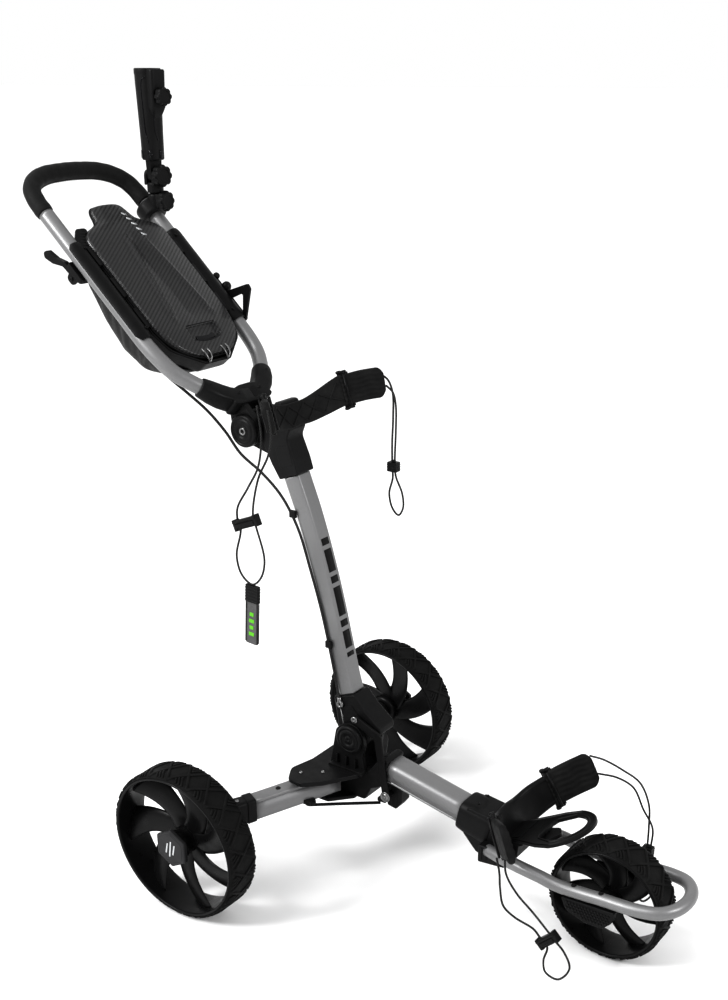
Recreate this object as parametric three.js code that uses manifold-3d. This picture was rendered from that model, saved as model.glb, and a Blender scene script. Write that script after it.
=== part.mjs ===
// A three-wheel golf push cart, standing ready for a bag. Millimetres, +X forward, +Y left, +Z up.
// The origin is on the ground, at the middle of the cart's length and width.
import * as THREE from 'three';
import { mergeVertices } from 'three/addons/utils/BufferGeometryUtils.js';
import Module from 'manifold-3d';

const wasm = await Module();
wasm.setup();

// ---------- driving dimensions ----------
const GAP = 0.3; // clearance between pieces that touch
const AXLE_TO_ORIGIN = 144.7; // the origin lies this far ahead of the rear axle
const REAR_WHEEL = { radius: 125, width: 59, bore: 6.5 };
const FRONT_WHEEL = { radius: 95, width: 57, bore: 6.5 };
const HALF_TRACK = 282;
const WHEELBASE = 599;
const TYRE_THICKNESS = 7;
const SPOKE_COUNT = 7;
const AXLE_RADIUS = 6;

const LOWER_PIVOT = { x: 137, z: 234 }; // the upright folds forward about this pin
const UPPER_PIVOT = { x: -57, z: 712 }; // the handle folds back about this pin
const PIVOT_PIN_RADIUS = 6;
const LEG_PIVOT = { x: 103, y: 48, z: 152 }; // a rear leg folds forward about this pin
const LEG_SWEEP = 117.8; // degrees from straight ahead, seen from above
const LEG_SLOPE = 5; // degrees down towards the wheel
const LEG_SECTION = { width: 27, height: 37, chamfer: 3.5 };
const FRONT_TUBE = { x: 199, z: 187, length: 152, width: 45, height: 40, chamfer: 10, slope: 11.6 };

const HANDLE_PLANE = { x: -268.6, z: 924.5, tilt: 42.6 }; // its local X runs down the handle tubes
const HANDLE_HALF_WIDTH = 106;
const HANDLE_TUBE_RADIUS = 12;
const GRIP_RADIUS = 13.5;
const GRIP_START = -135;
const YOKE_START = 224;

const CORD_RADIUS = 1.6;
const CORD_SIDES = 8;
const CORD_STEPS = 20;

// ---------- materials ----------
const material = (color, roughness, metalness) =>
  new THREE.MeshStandardMaterial({ color, roughness, metalness });
const silver = material(0xa9acad, 0.42, 0.7);
const steel = material(0xc4c6c8, 0.3, 0.9);
const blackPlastic = material(0x17181a, 0.5, 0.0);
const rimPlastic = material(0x1c1d1f, 0.4, 0.0);
const capPlastic = material(0x3a3b3e, 0.45, 0.2);
const rubber = material(0x101112, 0.75, 0.0);
const carbon = material(0x232427, 0.35, 0.1);
const foam = material(0x141416, 0.7, 0.0);
const fabric = material(0x121214, 0.9, 0.0);
const cordBlack = material(0x0e0e10, 0.8, 0.0);

// ---------- helpers ----------
const DEG = Math.PI / 180;
const vec = (x, y, z) => new THREE.Vector3(x, y, z);
const outline = (points) => new THREE.Shape(points.map(([a, b]) => new THREE.Vector2(a, b)));

// A closed geometry as a manifold solid, without the flat triangles that a lathe makes on its axis.
function solid(geometry) {
  const bare = geometry.clone();
  bare.deleteAttribute('normal');
  bare.deleteAttribute('uv');
  const merged = mergeVertices(bare, 1e-3);
  const triangles = [];
  for (let i = 0; i < merged.index.count; i += 3) {
    const [a, b, c] = [0, 1, 2].map((k) => merged.index.getX(i + k));
    if (a !== b && b !== c && c !== a) triangles.push(a, b, c);
  }
  return new wasm.Manifold(new wasm.Mesh({
    numProp: 3,
    vertProperties: Float32Array.from(merged.attributes.position.array),
    triVerts: Uint32Array.from(triangles),
  }));
}

function geometryOf(manifold) {
  const { vertProperties, triVerts } = manifold.getMesh();
  const geometry = new THREE.BufferGeometry();
  geometry.setAttribute('position', new THREE.BufferAttribute(vertProperties, 3));
  geometry.setIndex(new THREE.BufferAttribute(triVerts, 1));
  return geometry;
}

function join(...geometries) {
  return geometryOf(geometries.map(solid).reduce((whole, part) => whole.add(part)));
}

function cut(geometry, ...tools) {
  return geometryOf(tools.map(solid).reduce((whole, tool) => whole.subtract(tool), solid(geometry)));
}

// A slab of an outline drawn in (x, z), between two y values.
function slabXZ(shape, yLow, yHigh) {
  const geometry = new THREE.ExtrudeGeometry(shape, { depth: yHigh - yLow, bevelEnabled: false });
  geometry.rotateX(90 * DEG);
  geometry.translate(0, yHigh, 0);
  return geometry;
}

// A slab of an outline drawn in (x, y), between two z values.
function slabXY(shape, zLow, zHigh, curveSegments = 6) {
  const geometry = new THREE.ExtrudeGeometry(
    shape, { depth: zHigh - zLow, bevelEnabled: false, curveSegments });
  geometry.translate(0, 0, zLow);
  return geometry;
}

// A straight round bar between two points.
function rod(from, to, radius, sides = 12) {
  const along = to.clone().sub(from);
  const geometry = new THREE.CylinderGeometry(radius, radius, along.length(), sides);
  const turn = new THREE.Quaternion().setFromUnitVectors(vec(0, 1, 0), along.clone().normalize());
  geometry.applyQuaternion(turn);
  const middle = from.clone().add(to).multiplyScalar(0.5);
  geometry.translate(middle.x, middle.y, middle.z);
  return geometry;
}

const rodY = (x, z, yLow, yHigh, radius, sides = 16) =>
  rod(vec(x, yLow, z), vec(x, yHigh, z), radius, sides);

function box(xLow, xHigh, yLow, yHigh, zLow, zHigh) {
  const geometry = new THREE.BoxGeometry(xHigh - xLow, yHigh - yLow, zHigh - zLow);
  geometry.translate((xLow + xHigh) / 2, (yLow + yHigh) / 2, (zLow + zHigh) / 2);
  return geometry;
}

// A round tube swept along a smooth curve through the points.
function sweep(points, radius, sides, steps) {
  const section = new THREE.Shape(Array.from({ length: sides }, (_, i) => new THREE.Vector2(
    radius * Math.cos((i / sides) * 2 * Math.PI), radius * Math.sin((i / sides) * 2 * Math.PI))));
  const extrudePath = new THREE.CatmullRomCurve3(points, false, 'centripetal');
  return new THREE.ExtrudeGeometry(section, { steps, extrudePath, bevelEnabled: false });
}

// A closed skin over a row of rings that have the same number of points each.
function loft(rings) {
  const count = rings[0].length;
  const positions = rings.flat().flatMap((p) => [p.x, p.y, p.z]);
  const index = [];
  for (let r = 0; r < rings.length - 1; r += 1) {
    for (let i = 0; i < count; i += 1) {
      const a = r * count + i;
      const b = r * count + ((i + 1) % count);
      index.push(a, b, b + count, a, b + count, a + count);
    }
  }
  const last = (rings.length - 1) * count;
  for (let i = 1; i < count - 1; i += 1) {
    index.push(0, i + 1, i);
    index.push(last, last + i, last + i + 1);
  }
  const geometry = new THREE.BufferGeometry();
  geometry.setAttribute('position', new THREE.Float32BufferAttribute(positions, 3));
  geometry.setIndex(index);
  return signedVolume(geometry) < 0 ? insideOut(geometry) : geometry;
}

function signedVolume(geometry) {
  const point = (i) => new THREE.Vector3().fromBufferAttribute(geometry.attributes.position, i);
  let volume = 0;
  for (let i = 0; i < geometry.index.count; i += 3) {
    const [a, b, c] = [0, 1, 2].map((k) => point(geometry.index.getX(i + k)));
    volume += a.dot(b.cross(c)) / 6;
  }
  return volume;
}

function insideOut(geometry) {
  const flipped = geometry.clone();
  const index = Array.from(flipped.index.array);
  for (let i = 0; i < index.length; i += 3) {
    [index[i + 1], index[i + 2]] = [index[i + 2], index[i + 1]];
  }
  flipped.setIndex(index);
  return flipped;
}

// Section points of a bar with chamfered corners, as [across, up] pairs.
function chamferedSection(width, height, chamfer) {
  const w = width / 2;
  const h = height / 2;
  return [
    [w, -h + chamfer], [w, h - chamfer], [w - chamfer, h], [chamfer - w, h],
    [-w, h - chamfer], [-w, chamfer - h], [chamfer - w, -h], [w - chamfer, -h],
  ];
}

// A bar of one section along a path in the XZ plane; the section's "across" is Y.
function barXZ(path, section) {
  return loft(path.map(([x, z], i) => {
    const [x0, z0] = path[Math.max(i - 1, 0)];
    const [x1, z1] = path[Math.min(i + 1, path.length - 1)];
    const length = Math.hypot(x1 - x0, z1 - z0);
    const normal = vec(-(z1 - z0) / length, 0, (x1 - x0) / length);
    return section.map(([across, up]) => vec(x + normal.x * up, across, z + normal.z * up));
  }));
}

// A flat band on edge, along a path; "up" is the direction of its height.
function band(path, thickness, height, up) {
  return loft(path.map((centre, i) => {
    const before = path[Math.max(i - 1, 0)];
    const after = path[Math.min(i + 1, path.length - 1)];
    const along = after.clone().sub(before).normalize();
    const out = along.clone().cross(up).normalize().multiplyScalar(thickness / 2);
    const rise = up.clone().multiplyScalar(height / 2);
    return [
      centre.clone().add(out).sub(rise), centre.clone().add(out).add(rise),
      centre.clone().sub(out).add(rise), centre.clone().sub(out).sub(rise),
    ];
  }));
}

function place(name, geometry, finish, parent) {
  const mesh = new THREE.Mesh(geometry, finish);
  mesh.name = name;
  parent.add(mesh);
  return mesh;
}

// ---------- groups ----------
const cart = new THREE.Group();
cart.position.x = -AXLE_TO_ORIGIN;
const rightHalf = new THREE.Group();
const leftHalf = new THREE.Group(); // the right half's pieces, mirrored
leftHalf.scale.y = -1;
cart.add(rightHalf, leftHalf);
const handleFrame = new THREE.Group();
handleFrame.position.set(HANDLE_PLANE.x, 0, HANDLE_PLANE.z);
handleFrame.rotation.y = HANDLE_PLANE.tilt * DEG;
cart.add(handleFrame);

function placePair(name, geometry, finish) {
  place(`${name}_right`, geometry, finish, rightHalf);
  place(`${name}_left`, geometry, finish, leftHalf);
}

// ---------- wheels ----------
// Drawn about their own Y axis, with +Y towards the cart's middle.
const WHEEL_SEGMENTS = 28;

function tyre({ radius, width }) {
  const half = width / 2;
  const inner = radius - TYRE_THICKNESS;
  const profile = [
    [inner, -half], [radius - 3, -half], [radius, -half * 0.55], [radius, half * 0.55],
    [radius - 3, half], [inner, half], [inner, -half],
  ].map(([r, y]) => new THREE.Vector2(r, y));
  return new THREE.LatheGeometry(profile, WHEEL_SEGMENTS);
}

// A leaf-shaped window between two spokes, whose inner tip trails behind its outer end.
function leafWindow(outer, inner, angle, sweepAngle, halfAngle) {
  const at = (r, a) => [r * Math.cos(a * DEG), r * Math.sin(a * DEG)];
  const middle = (outer + inner) / 2;
  return outline([
    at(outer, angle - halfAngle), at(outer, angle + halfAngle),
    at(middle, angle + sweepAngle * 0.45 + halfAngle * 0.8), at(inner, angle + sweepAngle),
    at(middle, angle + sweepAngle * 0.45 - halfAngle * 0.9),
  ]);
}

function rim({ radius, width, bore }, firstWindow) {
  const half = width / 2 - 1;
  const outer = radius - TYRE_THICKNESS - GAP;
  const barrelInner = outer - 5;
  const barrel = new THREE.LatheGeometry([
    [barrelInner, -half], [outer, -half], [outer, half], [barrelInner, half], [barrelInner, -half],
  ].map(([r, y]) => new THREE.Vector2(r, y)), WHEEL_SEGMENTS);
  const web = slabXZ(outline(Array.from({ length: WHEEL_SEGMENTS }, (_, i) => {
    const angle = (i / WHEEL_SEGMENTS) * 2 * Math.PI;
    return [(barrelInner + 1) * Math.cos(angle), (barrelInner + 1) * Math.sin(angle)];
  })), half - 22, half - 8);
  const windows = Array.from({ length: SPOKE_COUNT }, (_, i) => {
    const angle = firstWindow + (i * 360) / SPOKE_COUNT;
    return slabXZ(leafWindow(barrelInner - 3, radius * 0.33, angle, -34, 14), half - 30, half);
  });
  const hub = rodY(0, 0, -half + 5, half, radius * 0.2);
  const axleHole = rodY(0, 0, -half - 2, half + 2, bore);
  return cut(join(barrel, web, hub), ...windows, axleHole);
}

function hexagonCap() {
  const corner = (radius, y) => Array.from({ length: 6 }, (_, i) =>
    vec(radius * Math.sin(i * 60 * DEG), y, radius * Math.cos(i * 60 * DEG)));
  return loft([corner(31, 4.5), corner(33, 3), corner(33, -1), corner(28, -4)]);
}

const REAR_AXLE_HEIGHT = REAR_WHEEL.radius;
function placeRearWheel(half, side) {
  const wheel = new THREE.Group();
  wheel.position.set(0, -HALF_TRACK, REAR_AXLE_HEIGHT);
  half.add(wheel);
  place(`rear_tyre_${side}`, tyre(REAR_WHEEL), rubber, wheel);
  place(`rear_rim_${side}`, rim(REAR_WHEEL, 4), rimPlastic, wheel);
  const cap = place(`rear_hub_cap_${side}`, hexagonCap(), capPlastic, wheel);
  cap.position.y = -REAR_WHEEL.width / 2 + 1;
}
placeRearWheel(rightHalf, 'right');
placeRearWheel(leftHalf, 'left');

const frontWheel = new THREE.Group();
frontWheel.position.set(WHEELBASE, 0, FRONT_WHEEL.radius);
cart.add(frontWheel);
place('front_tyre', tyre(FRONT_WHEEL), rubber, frontWheel);
place('front_rim', rim(FRONT_WHEEL, 23), rimPlastic, frontWheel);

// ---------- rear legs ----------
const legDirection = vec(
  Math.cos(LEG_SWEEP * DEG) * Math.cos(LEG_SLOPE * DEG),
  -Math.sin(LEG_SWEEP * DEG) * Math.cos(LEG_SLOPE * DEG),
  -Math.sin(LEG_SLOPE * DEG));
const legPoint = (along) =>
  vec(LEG_PIVOT.x, -LEG_PIVOT.y, LEG_PIVOT.z).add(legDirection.clone().multiplyScalar(along));
const legSide = vec(0, 0, 1).cross(legDirection).normalize();
const legRing = (along, width, height, chamfer) => {
  const centre = legPoint(along);
  return chamferedSection(width, height, chamfer).map(([across, up]) =>
    centre.clone().add(legSide.clone().multiplyScalar(across)).add(vec(0, 0, up)));
};
const LEG_END = 138;

function rearLeg() {
  const { width, height, chamfer } = LEG_SECTION;
  const tube = loft([-18, LEG_END].map((along) => legRing(along, width, height, chamfer)));
  const rodLug = rod(vec(98, -88, 128), vec(98, -88, 138), 9);
  const lugArm = box(84, 104, -100, -80, 129, 137);
  const pinHole = rod(vec(LEG_PIVOT.x, -LEG_PIVOT.y, 100), vec(LEG_PIVOT.x, -LEG_PIVOT.y, 200), 5.5);
  return cut(join(tube, rodLug, lugArm), pinHole);
}
placePair('rear_leg', rearLeg(), silver);

function axleBlock() {
  const body = loft([
    legRing(LEG_END + GAP, 30, 43, 8), legRing(LEG_END + 30, 34, 46, 9), legRing(208, 32, 40, 9),
  ]);
  const boss = rodY(0, REAR_AXLE_HEIGHT, -251, -205, 21);
  const axle = rodY(0, REAR_AXLE_HEIGHT, -HALF_TRACK - 23, -230, AXLE_RADIUS);
  return join(body, boss, axle);
}
placePair('axle_block', axleBlock(), blackPlastic);

// ---------- hinge base ----------
function hingeBase() {
  const wing = outline([
    [70, -40], [58, -84], [76, -112], [100, -116], [126, -92], [160, -40],
    [160, 40], [126, 92], [100, 116], [76, 112], [58, 84], [70, 40],
  ]);
  const topPlate = slabXY(wing, 173, 180);
  const bottomPlate = slabXY(outline([
    [78, -30], [86, -60], [112, -60], [142, -26], [142, 26], [112, 60], [86, 60], [78, 30],
  ]), 121, 128);
  const core = slabXZ(outline([
    [82, 124], [160, 124], [172, 150], [186, 158], [194.2, 166], [201.8, 205.4], [192, 205],
    [181, 190], [172, 181], [150, 178], [82, 178],
  ]), -21, 21);
  const cheek = outline([
    [104, 178], [106, 210], [113, 240], [124, 254], [137, 259], [150, 254], [160, 242],
    [161, 226], [156, 204], [158, 178],
  ]);
  const cheeks = [slabXZ(cheek, -29, -21.2), slabXZ(cheek, 21.2, 29)];
  const pins = [-1, 1].map((side) =>
    rod(vec(LEG_PIVOT.x, side * LEG_PIVOT.y, 124), vec(LEG_PIVOT.x, side * LEG_PIVOT.y, 177), 5.2));
  const pinHole = rodY(LOWER_PIVOT.x, LOWER_PIVOT.z, -40, 40, PIVOT_PIN_RADIUS + GAP);
  const base = join(topPlate, bottomPlate, core, ...cheeks, ...pins, box(104, 158, -29, 29, 176, 180));
  return cut(base, pinHole);
}
place('hinge_base', hingeBase(), blackPlastic, cart);

// A pivot bolt with a round ribbed head on each end.
function pivotBolt({ x, z }, halfSpan, headRadius, headDepth) {
  const head = (yLow, yHigh) => rodY(x, z, yLow, yHigh, headRadius, 20);
  return join(
    rodY(x, z, -halfSpan - 1, halfSpan + 1, PIVOT_PIN_RADIUS),
    head(-halfSpan - headDepth, -halfSpan), head(halfSpan, halfSpan + headDepth));
}
place('lower_pivot_bolt', pivotBolt(LOWER_PIVOT, 29.3, 24, 8), blackPlastic, cart);

// ---------- front frame ----------
const frontAngle = -FRONT_TUBE.slope * DEG;
const frontPath = [0, FRONT_TUBE.length].map((along) => [
  FRONT_TUBE.x + along * Math.cos(frontAngle), FRONT_TUBE.z + along * Math.sin(frontAngle)]);
const frontSection = (extra) =>
  chamferedSection(FRONT_TUBE.width + extra, FRONT_TUBE.height + extra, FRONT_TUBE.chamfer);
place('front_tube', barXZ(frontPath, frontSection(0)), silver, cart);

function frontBracket() {
  const sleeve = slabXZ(outline([
    [349, 130], [350, 180], [362, 185], [410, 179], [417, 150], [421, 135], [430, 131], [430, 108],
    [408, 98], [376, 112],
  ]), -30, 30);
  const wings = slabXZ(outline([[392, 104], [392, 131], [436, 131], [438, 108]]), -44, 44);
  const socket = barXZ([[340, 158], [350.7, 156.2]], frontSection(1));
  const forkHoles = [-1, 1].map((side) => rod(
    vec(392, side * 32, 123), vec(454, side * 53, 128.5), 10.6));
  return cut(join(sleeve, wings), socket, ...forkHoles);
}
place('front_bracket', frontBracket(), blackPlastic, cart);

const FORK_HALF_WIDTH = 56;
function forkLoop() {
  const rightRun = [
    [408, -37.4, 124.4], [440, -48.3, 127.3], [478, -FORK_HALF_WIDTH, 129], [506, -FORK_HALF_WIDTH, 126],
    [536, -FORK_HALF_WIDTH, 122], [610, -FORK_HALF_WIDTH, 126], [668, -FORK_HALF_WIDTH, 130],
    [695, -48, 132], [711, -28, 133],
  ];
  const points = [
    ...rightRun, [717, 0, 134], ...rightRun.slice().reverse().map(([x, y, z]) => [x, -y, z]),
  ].map(([x, y, z]) => vec(x, y, z));
  return sweep(points, 10, 10, 38);
}
place('fork_loop', forkLoop(), silver, cart);

function axleCarrier() {
  const plate = outline([
    [548, 109], [556, 92], [588, 80], [616, 82], [628, 96], [630, 114], [548, 110.6],
  ]);
  return join(
    slabXZ(plate, -FORK_HALF_WIDTH - 8, -FORK_HALF_WIDTH + 14),
    slabXZ(plate, FORK_HALF_WIDTH - 14, FORK_HALF_WIDTH + 8),
    rodY(WHEELBASE, FRONT_WHEEL.radius, -FORK_HALF_WIDTH, FORK_HALF_WIDTH, AXLE_RADIUS));
}
place('front_axle_carrier', axleCarrier(), blackPlastic, cart);

// A D-shaped loop that the foot of the bag stands on, with a shorter tongue under it.
const BAG_REST = { x: 434, z: 151, tilt: 22, radius: 60, inner: 45, arcX: 76, gapX: 56 };

function bagRest() {
  const { x, z, tilt, radius, inner, arcX, gapX } = BAG_REST;
  const loop = new THREE.Shape();
  loop.moveTo(0, -30);
  loop.lineTo(arcX - 14, -54);
  loop.absarc(arcX, 0, radius, -78 * DEG, 78 * DEG, false);
  loop.lineTo(arcX - 14, 54);
  loop.lineTo(0, 30);
  const gap = new THREE.Path();
  gap.moveTo(gapX, -30);
  gap.lineTo(gapX, 30);
  gap.absarc(arcX, 0, inner, 78 * DEG, -78 * DEG, true);
  loop.holes.push(gap);
  const plate = slabXY(loop, -3.5, 3.5, 8);
  const tongue = slabXY(outline([[0, -24], [66, -20], [80, 0], [66, 20], [0, 24]]), -12, -7);
  const rest = join(plate, tongue, box(0, 9, -24, 24, -12, 0));
  rest.rotateY(-tilt * DEG);
  rest.translate(x, 0, z);
  return join(rest, box(438.6, 447, -22, 22, 118, z - 5));
}
place('bag_rest', bagRest(), blackPlastic, cart);

// ---------- bag cradles ----------
// Each is a band on edge that hugs the bag, with a strap pad on either tip.
const CRADLE_UP = vec(-0.31, 0, 0.951);
const CRADLE_THICKNESS = 9;
const PAD_THICKNESS = 13;
const UPPER_CRADLE = {
  height: 44,
  arm: [[22, 0, 744], [22, 28, 744], [27, 60, 751], [36, 80, 760], [43, 91, 765.5]],
  pad: [[44, 92.2, 766], [62, 115, 771], [79, 134, 774]],
};
const LOWER_CRADLE = {
  height: 52,
  arm: [[423, 0, 163], [423, 28, 163], [428, 52, 172], [438, 71, 182], [446, 82, 189]],
  pad: [[447, 83.2, 190], [466, 106, 202.5], [487, 129, 214.5]],
};

function cradle({ arm, height }) {
  const left = arm.map(([x, y, z]) => vec(x, y, z));
  const right = arm.slice(1).map(([x, y, z]) => vec(x, -y, z)).reverse();
  return band([...right, ...left], CRADLE_THICKNESS, height, CRADLE_UP);
}

// The right-hand pad, with a raised buckle frame round its inner end.
function strapPad({ pad, height }) {
  const path = pad.map(([x, y, z]) => vec(x, -y, z));
  const along = path[1].clone().sub(path[0]).normalize();
  const buckle = [4, 12].map((distance) => path[0].clone().add(along.clone().multiplyScalar(distance)));
  return join(
    band(path, PAD_THICKNESS, height, CRADLE_UP),
    band(buckle, PAD_THICKNESS + 6, height + 10, CRADLE_UP));
}
place('upper_cradle', cradle(UPPER_CRADLE), rubber, cart);
placePair('upper_strap_pad', strapPad(UPPER_CRADLE), rubber);
place('lower_cradle', cradle(LOWER_CRADLE), blackPlastic, cart);
placePair('lower_strap_pad', strapPad(LOWER_CRADLE), rubber);

// ---------- upright ----------
const UPRIGHT_PATH = [
  [19, 648], [42, 589], [63, 524], [82, 455], [99, 383], [114, 320], [119, 304],
];
const UPRIGHT_SECTION = [
  [8, -20], [19, -9], [19, 9], [8, 20], [-8, 20], [-19, 9], [-19, -9], [-8, -20],
];
place('main_upright', barXZ(UPRIGHT_PATH, UPRIGHT_SECTION), silver, cart);

function lowerShoe() {
  const profile = outline([
    [98, 296.8], [138.6, 309.4], [158, 288], [188, 264], [190, 250], [170, 243], [160, 226],
    [148, 212], [132, 210], [116, 220], [106, 246],
  ]);
  const pinHole = rodY(LOWER_PIVOT.x, LOWER_PIVOT.z, -40, 40, PIVOT_PIN_RADIUS + GAP);
  return cut(slabXZ(profile, -20.6, 20.6), pinHole);
}
place('lower_shoe', lowerShoe(), blackPlastic, cart);

function upperCollar() {
  const sleeve = slabXZ(outline([
    [0.8, 641.6], [37.4, 655.8], [31, 676], [17, 708], [23.6, 723], [9.8, 764], [-4, 762], [-14, 738],
    [-27.5, 736], [-27.5, 690], [-14, 664],
  ]), -20.5, 20.5);
  const lug = slabXZ(outline([
    [-20, 737], [-57, 738], [-76, 730], [-83, 712], [-76, 693], [-57, 686], [-20, 676],
  ]), -15.5, 15.5);
  const pinHole = rodY(UPPER_PIVOT.x, UPPER_PIVOT.z, -40, 40, PIVOT_PIN_RADIUS + GAP);
  return cut(join(sleeve, lug), pinHole);
}
place('upper_collar', upperCollar(), blackPlastic, cart);
place('upper_pivot_bolt', pivotBolt(UPPER_PIVOT, 28.3, 25.5, 8), blackPlastic, cart);

// ---------- fold linkage ----------
// The upright's link pushes a slider along the front tube, and rods from the slider swing the legs.
const LINK_TOP = { x: 145, z: 270 };
const LINK_BOTTOM = { x: 206, z: 148 };

function foldLink() {
  const bar = slabXZ(outline([
    [141, 264], [183, 246], [200, 144], [212, 146], [196, 256], [149, 277], [140, 274],
  ]), -29, -24.3);
  const pin = rodY(LINK_TOP.x, LINK_TOP.z, -26, -21.1, 4);
  const eye = rodY(LINK_BOTTOM.x, LINK_BOTTOM.z, -31, -24.3, 9);
  return join(bar, pin, eye);
}
place('fold_link', foldLink(), blackPlastic, cart);

function foldSlider() {
  const body = slabXZ(outline([[197, 165.8], [226, 160], [226, 134], [215, 119], [198, 122]]), -12, 12);
  const crossbar = box(184, 200, -21, 21, 129, 136);
  return join(body, crossbar, rodY(LINK_BOTTOM.x, LINK_BOTTOM.z, -23.7, 12, 5));
}
place('fold_slider', foldSlider(), blackPlastic, cart);
placePair('leg_rod', rod(vec(98, -88, 125), vec(188, -17, 125), 2.5, 8), steel);

// ---------- handle frame (local X down the tubes, local Z out of the plane) ----------
function handleTube() {
  const y = -HANDLE_HALF_WIDTH;
  return sweep([
    vec(GRIP_START + 1.2, y, 0), vec(-40, y, 0), vec(60, y, 0), vec(122, y, 0), vec(154, y + 3, 1),
    vec(182, y + 10, 2), vec(206, y + 25, 4), vec(YOKE_START - 1.2, y + 39, 5),
  ], HANDLE_TUBE_RADIUS, 10, 18);
}

function grip() {
  const side = [
    [GRIP_START, HANDLE_HALF_WIDTH, 0], [-158, 105.5, 0], [-180, 99, 0], [-197, 81, 0],
    [-207, 54, 0], [-210, 26, 0],
  ];
  const points = [
    ...side.map(([x, y, z]) => vec(x, -y, z)), vec(-211, 0, 0),
    ...side.map(([x, y, z]) => vec(x, y, z)).reverse(),
  ];
  return sweep(points, GRIP_RADIUS, 10, 24);
}

function yoke() {
  const half = [
    [YOKE_START - 10, 54.4], [YOKE_START + 10, 79], [260, 56], [269.5, 38], [269.5, 0], [246, 0],
    [242, 18], [232, 36],
  ];
  const mirrored = half.map(([x, y]) => [x, -y]).reverse();
  const body = join(slabXY(outline(half), -12, 20), slabXY(outline(mirrored), -12, 20));
  const cheek = outline([
    [258, -14], [258, 16], [300, 14], [318, 6], [327, -10], [320, -32], [300, -40], [280, -32],
  ]);
  const pivotLocal = { x: 299.6, z: -13.2 };
  const pinHole = rodY(pivotLocal.x, pivotLocal.z, -60, 60, PIVOT_PIN_RADIUS + GAP);
  return cut(join(body, slabXZ(cheek, -28, -16), slabXZ(cheek, 16, 28)), pinHole);
}

const rightHandle = new THREE.Group();
const leftHandle = new THREE.Group();
leftHandle.scale.y = -1;
handleFrame.add(rightHandle, leftHandle);
place('handle_tube_right', handleTube(), silver, rightHandle);
place('handle_tube_left', handleTube(), silver, leftHandle);
place('grip', grip(), foam, handleFrame);
place('yoke', yoke(), blackPlastic, handleFrame);

// ---------- console ----------
const CONSOLE = { top: -84, bottom: 183, halfWidth: 87, floor: -22, rim: 8, wall: 4 };

function consoleOutline(inset) {
  const { top, bottom, halfWidth } = CONSOLE;
  const shape = new THREE.Shape();
  const w = halfWidth - inset;
  shape.moveTo(top + inset, -w + 14);
  shape.lineTo(top + inset + 14, -w);
  shape.lineTo(112, -w);
  shape.quadraticCurveTo(bottom - 22, -w + 4, bottom - inset, -26);
  shape.lineTo(bottom - inset, 26);
  shape.quadraticCurveTo(bottom - 22, w - 4, 112, w);
  shape.lineTo(top + inset + 14, w);
  shape.lineTo(top + inset, w - 14);
  return shape;
}

function consoleTray() {
  const { floor, rim: rimHeight, wall } = CONSOLE;
  const shell = slabXY(consoleOutline(0), floor, rimHeight);
  const hollow = slabXY(consoleOutline(wall), floor + wall, rimHeight + 10);
  const rail = outline([[-66, -86.5], [-66, -111], [112, -111], [124, -103], [112, -86.5]]);
  const rails = [slabXY(rail, HANDLE_TUBE_RADIUS + 0.6, HANDLE_TUBE_RADIUS + 5)];
  const ledge = box(-62, 108, -91, -85.4, 2, HANDLE_TUBE_RADIUS + 5);
  const half = [rails[0], ledge];
  const otherHalf = half.map((piece) => insideOutMirror(piece));
  return cut(join(shell, ...half, ...otherHalf), hollow);
}

// The piece mirrored in Y, with its faces still pointing out.
function insideOutMirror(geometry) {
  const mirrored = mergeVertices(stripped(geometry), 1e-3);
  mirrored.scale(1, -1, 1);
  return insideOut(mirrored);
}

function stripped(geometry) {
  const bare = geometry.clone();
  bare.deleteAttribute('normal');
  bare.deleteAttribute('uv');
  return bare;
}
place('console_tray', consoleTray(), blackPlastic, handleFrame);

function consoleLid() {
  const lid = new THREE.Shape();
  lid.moveTo(-126, -26);
  lid.quadraticCurveTo(-112, -38, -92, -42);
  lid.lineTo(-78, -76);
  lid.lineTo(-66, -84);
  lid.lineTo(112, -84);
  lid.quadraticCurveTo(156, -80, 174, -28);
  lid.lineTo(174, 28);
  lid.quadraticCurveTo(156, 80, 112, 84);
  lid.lineTo(-66, 84);
  lid.lineTo(-78, 76);
  lid.lineTo(-92, 42);
  lid.quadraticCurveTo(-112, 38, -126, 26);
  const plate = slabXY(lid, CONSOLE.rim + 0.6, CONSOLE.rim + 12);
  const recess = box(124, 150, -32, 32, CONSOLE.rim + 8, CONSOLE.rim + 20);
  return cut(plate, recess);
}
place('console_lid', consoleLid(), carbon, handleFrame);

function pouch() {
  const ring = (x, half, depth) => [
    vec(x, -half, -24), vec(x, -half * 0.92, -24 - depth * 0.7), vec(x, -half * 0.5, -24 - depth),
    vec(x, half * 0.5, -24 - depth), vec(x, half * 0.92, -24 - depth * 0.7), vec(x, half, -24),
  ];
  return loft([
    ring(-56, 76, 20), ring(-30, 80, 34), ring(20, 80, 54), ring(70, 80, 62), ring(115, 76, 54),
    ring(150, 60, 28), ring(168, 44, 6),
  ]);
}
place('pouch', pouch(), fabric, handleFrame);

// ---------- parking brake lever ----------
function brakeMount() {
  const clamp = box(-52, -16, -119, -93, -21, -12.4);
  const ears = [box(-44, -26, -115, -111, -38, -20), box(-44, -26, -101, -97, -38, -20)];
  return cut(join(clamp, ...ears), rodY(-35, -31, -130, -80, 2.8, 10));
}
place('brake_mount', brakeMount(), blackPlastic, handleFrame);

function brakeLever() {
  const arm = slabXZ(outline([
    [-30, -36], [-27, -30], [-32, -25], [-40, -25], [-64, -26], [-80, -35], [-100, -40],
    [-104, -48], [-97, -53], [-80, -47], [-62, -34], [-44, -33],
  ]), -110.4, -101.6);
  const pin = rodY(-35, -31, -115, -97, 2.5, 10);
  return join(arm, pin);
}
place('brake_lever', brakeLever(), blackPlastic, handleFrame);

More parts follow.
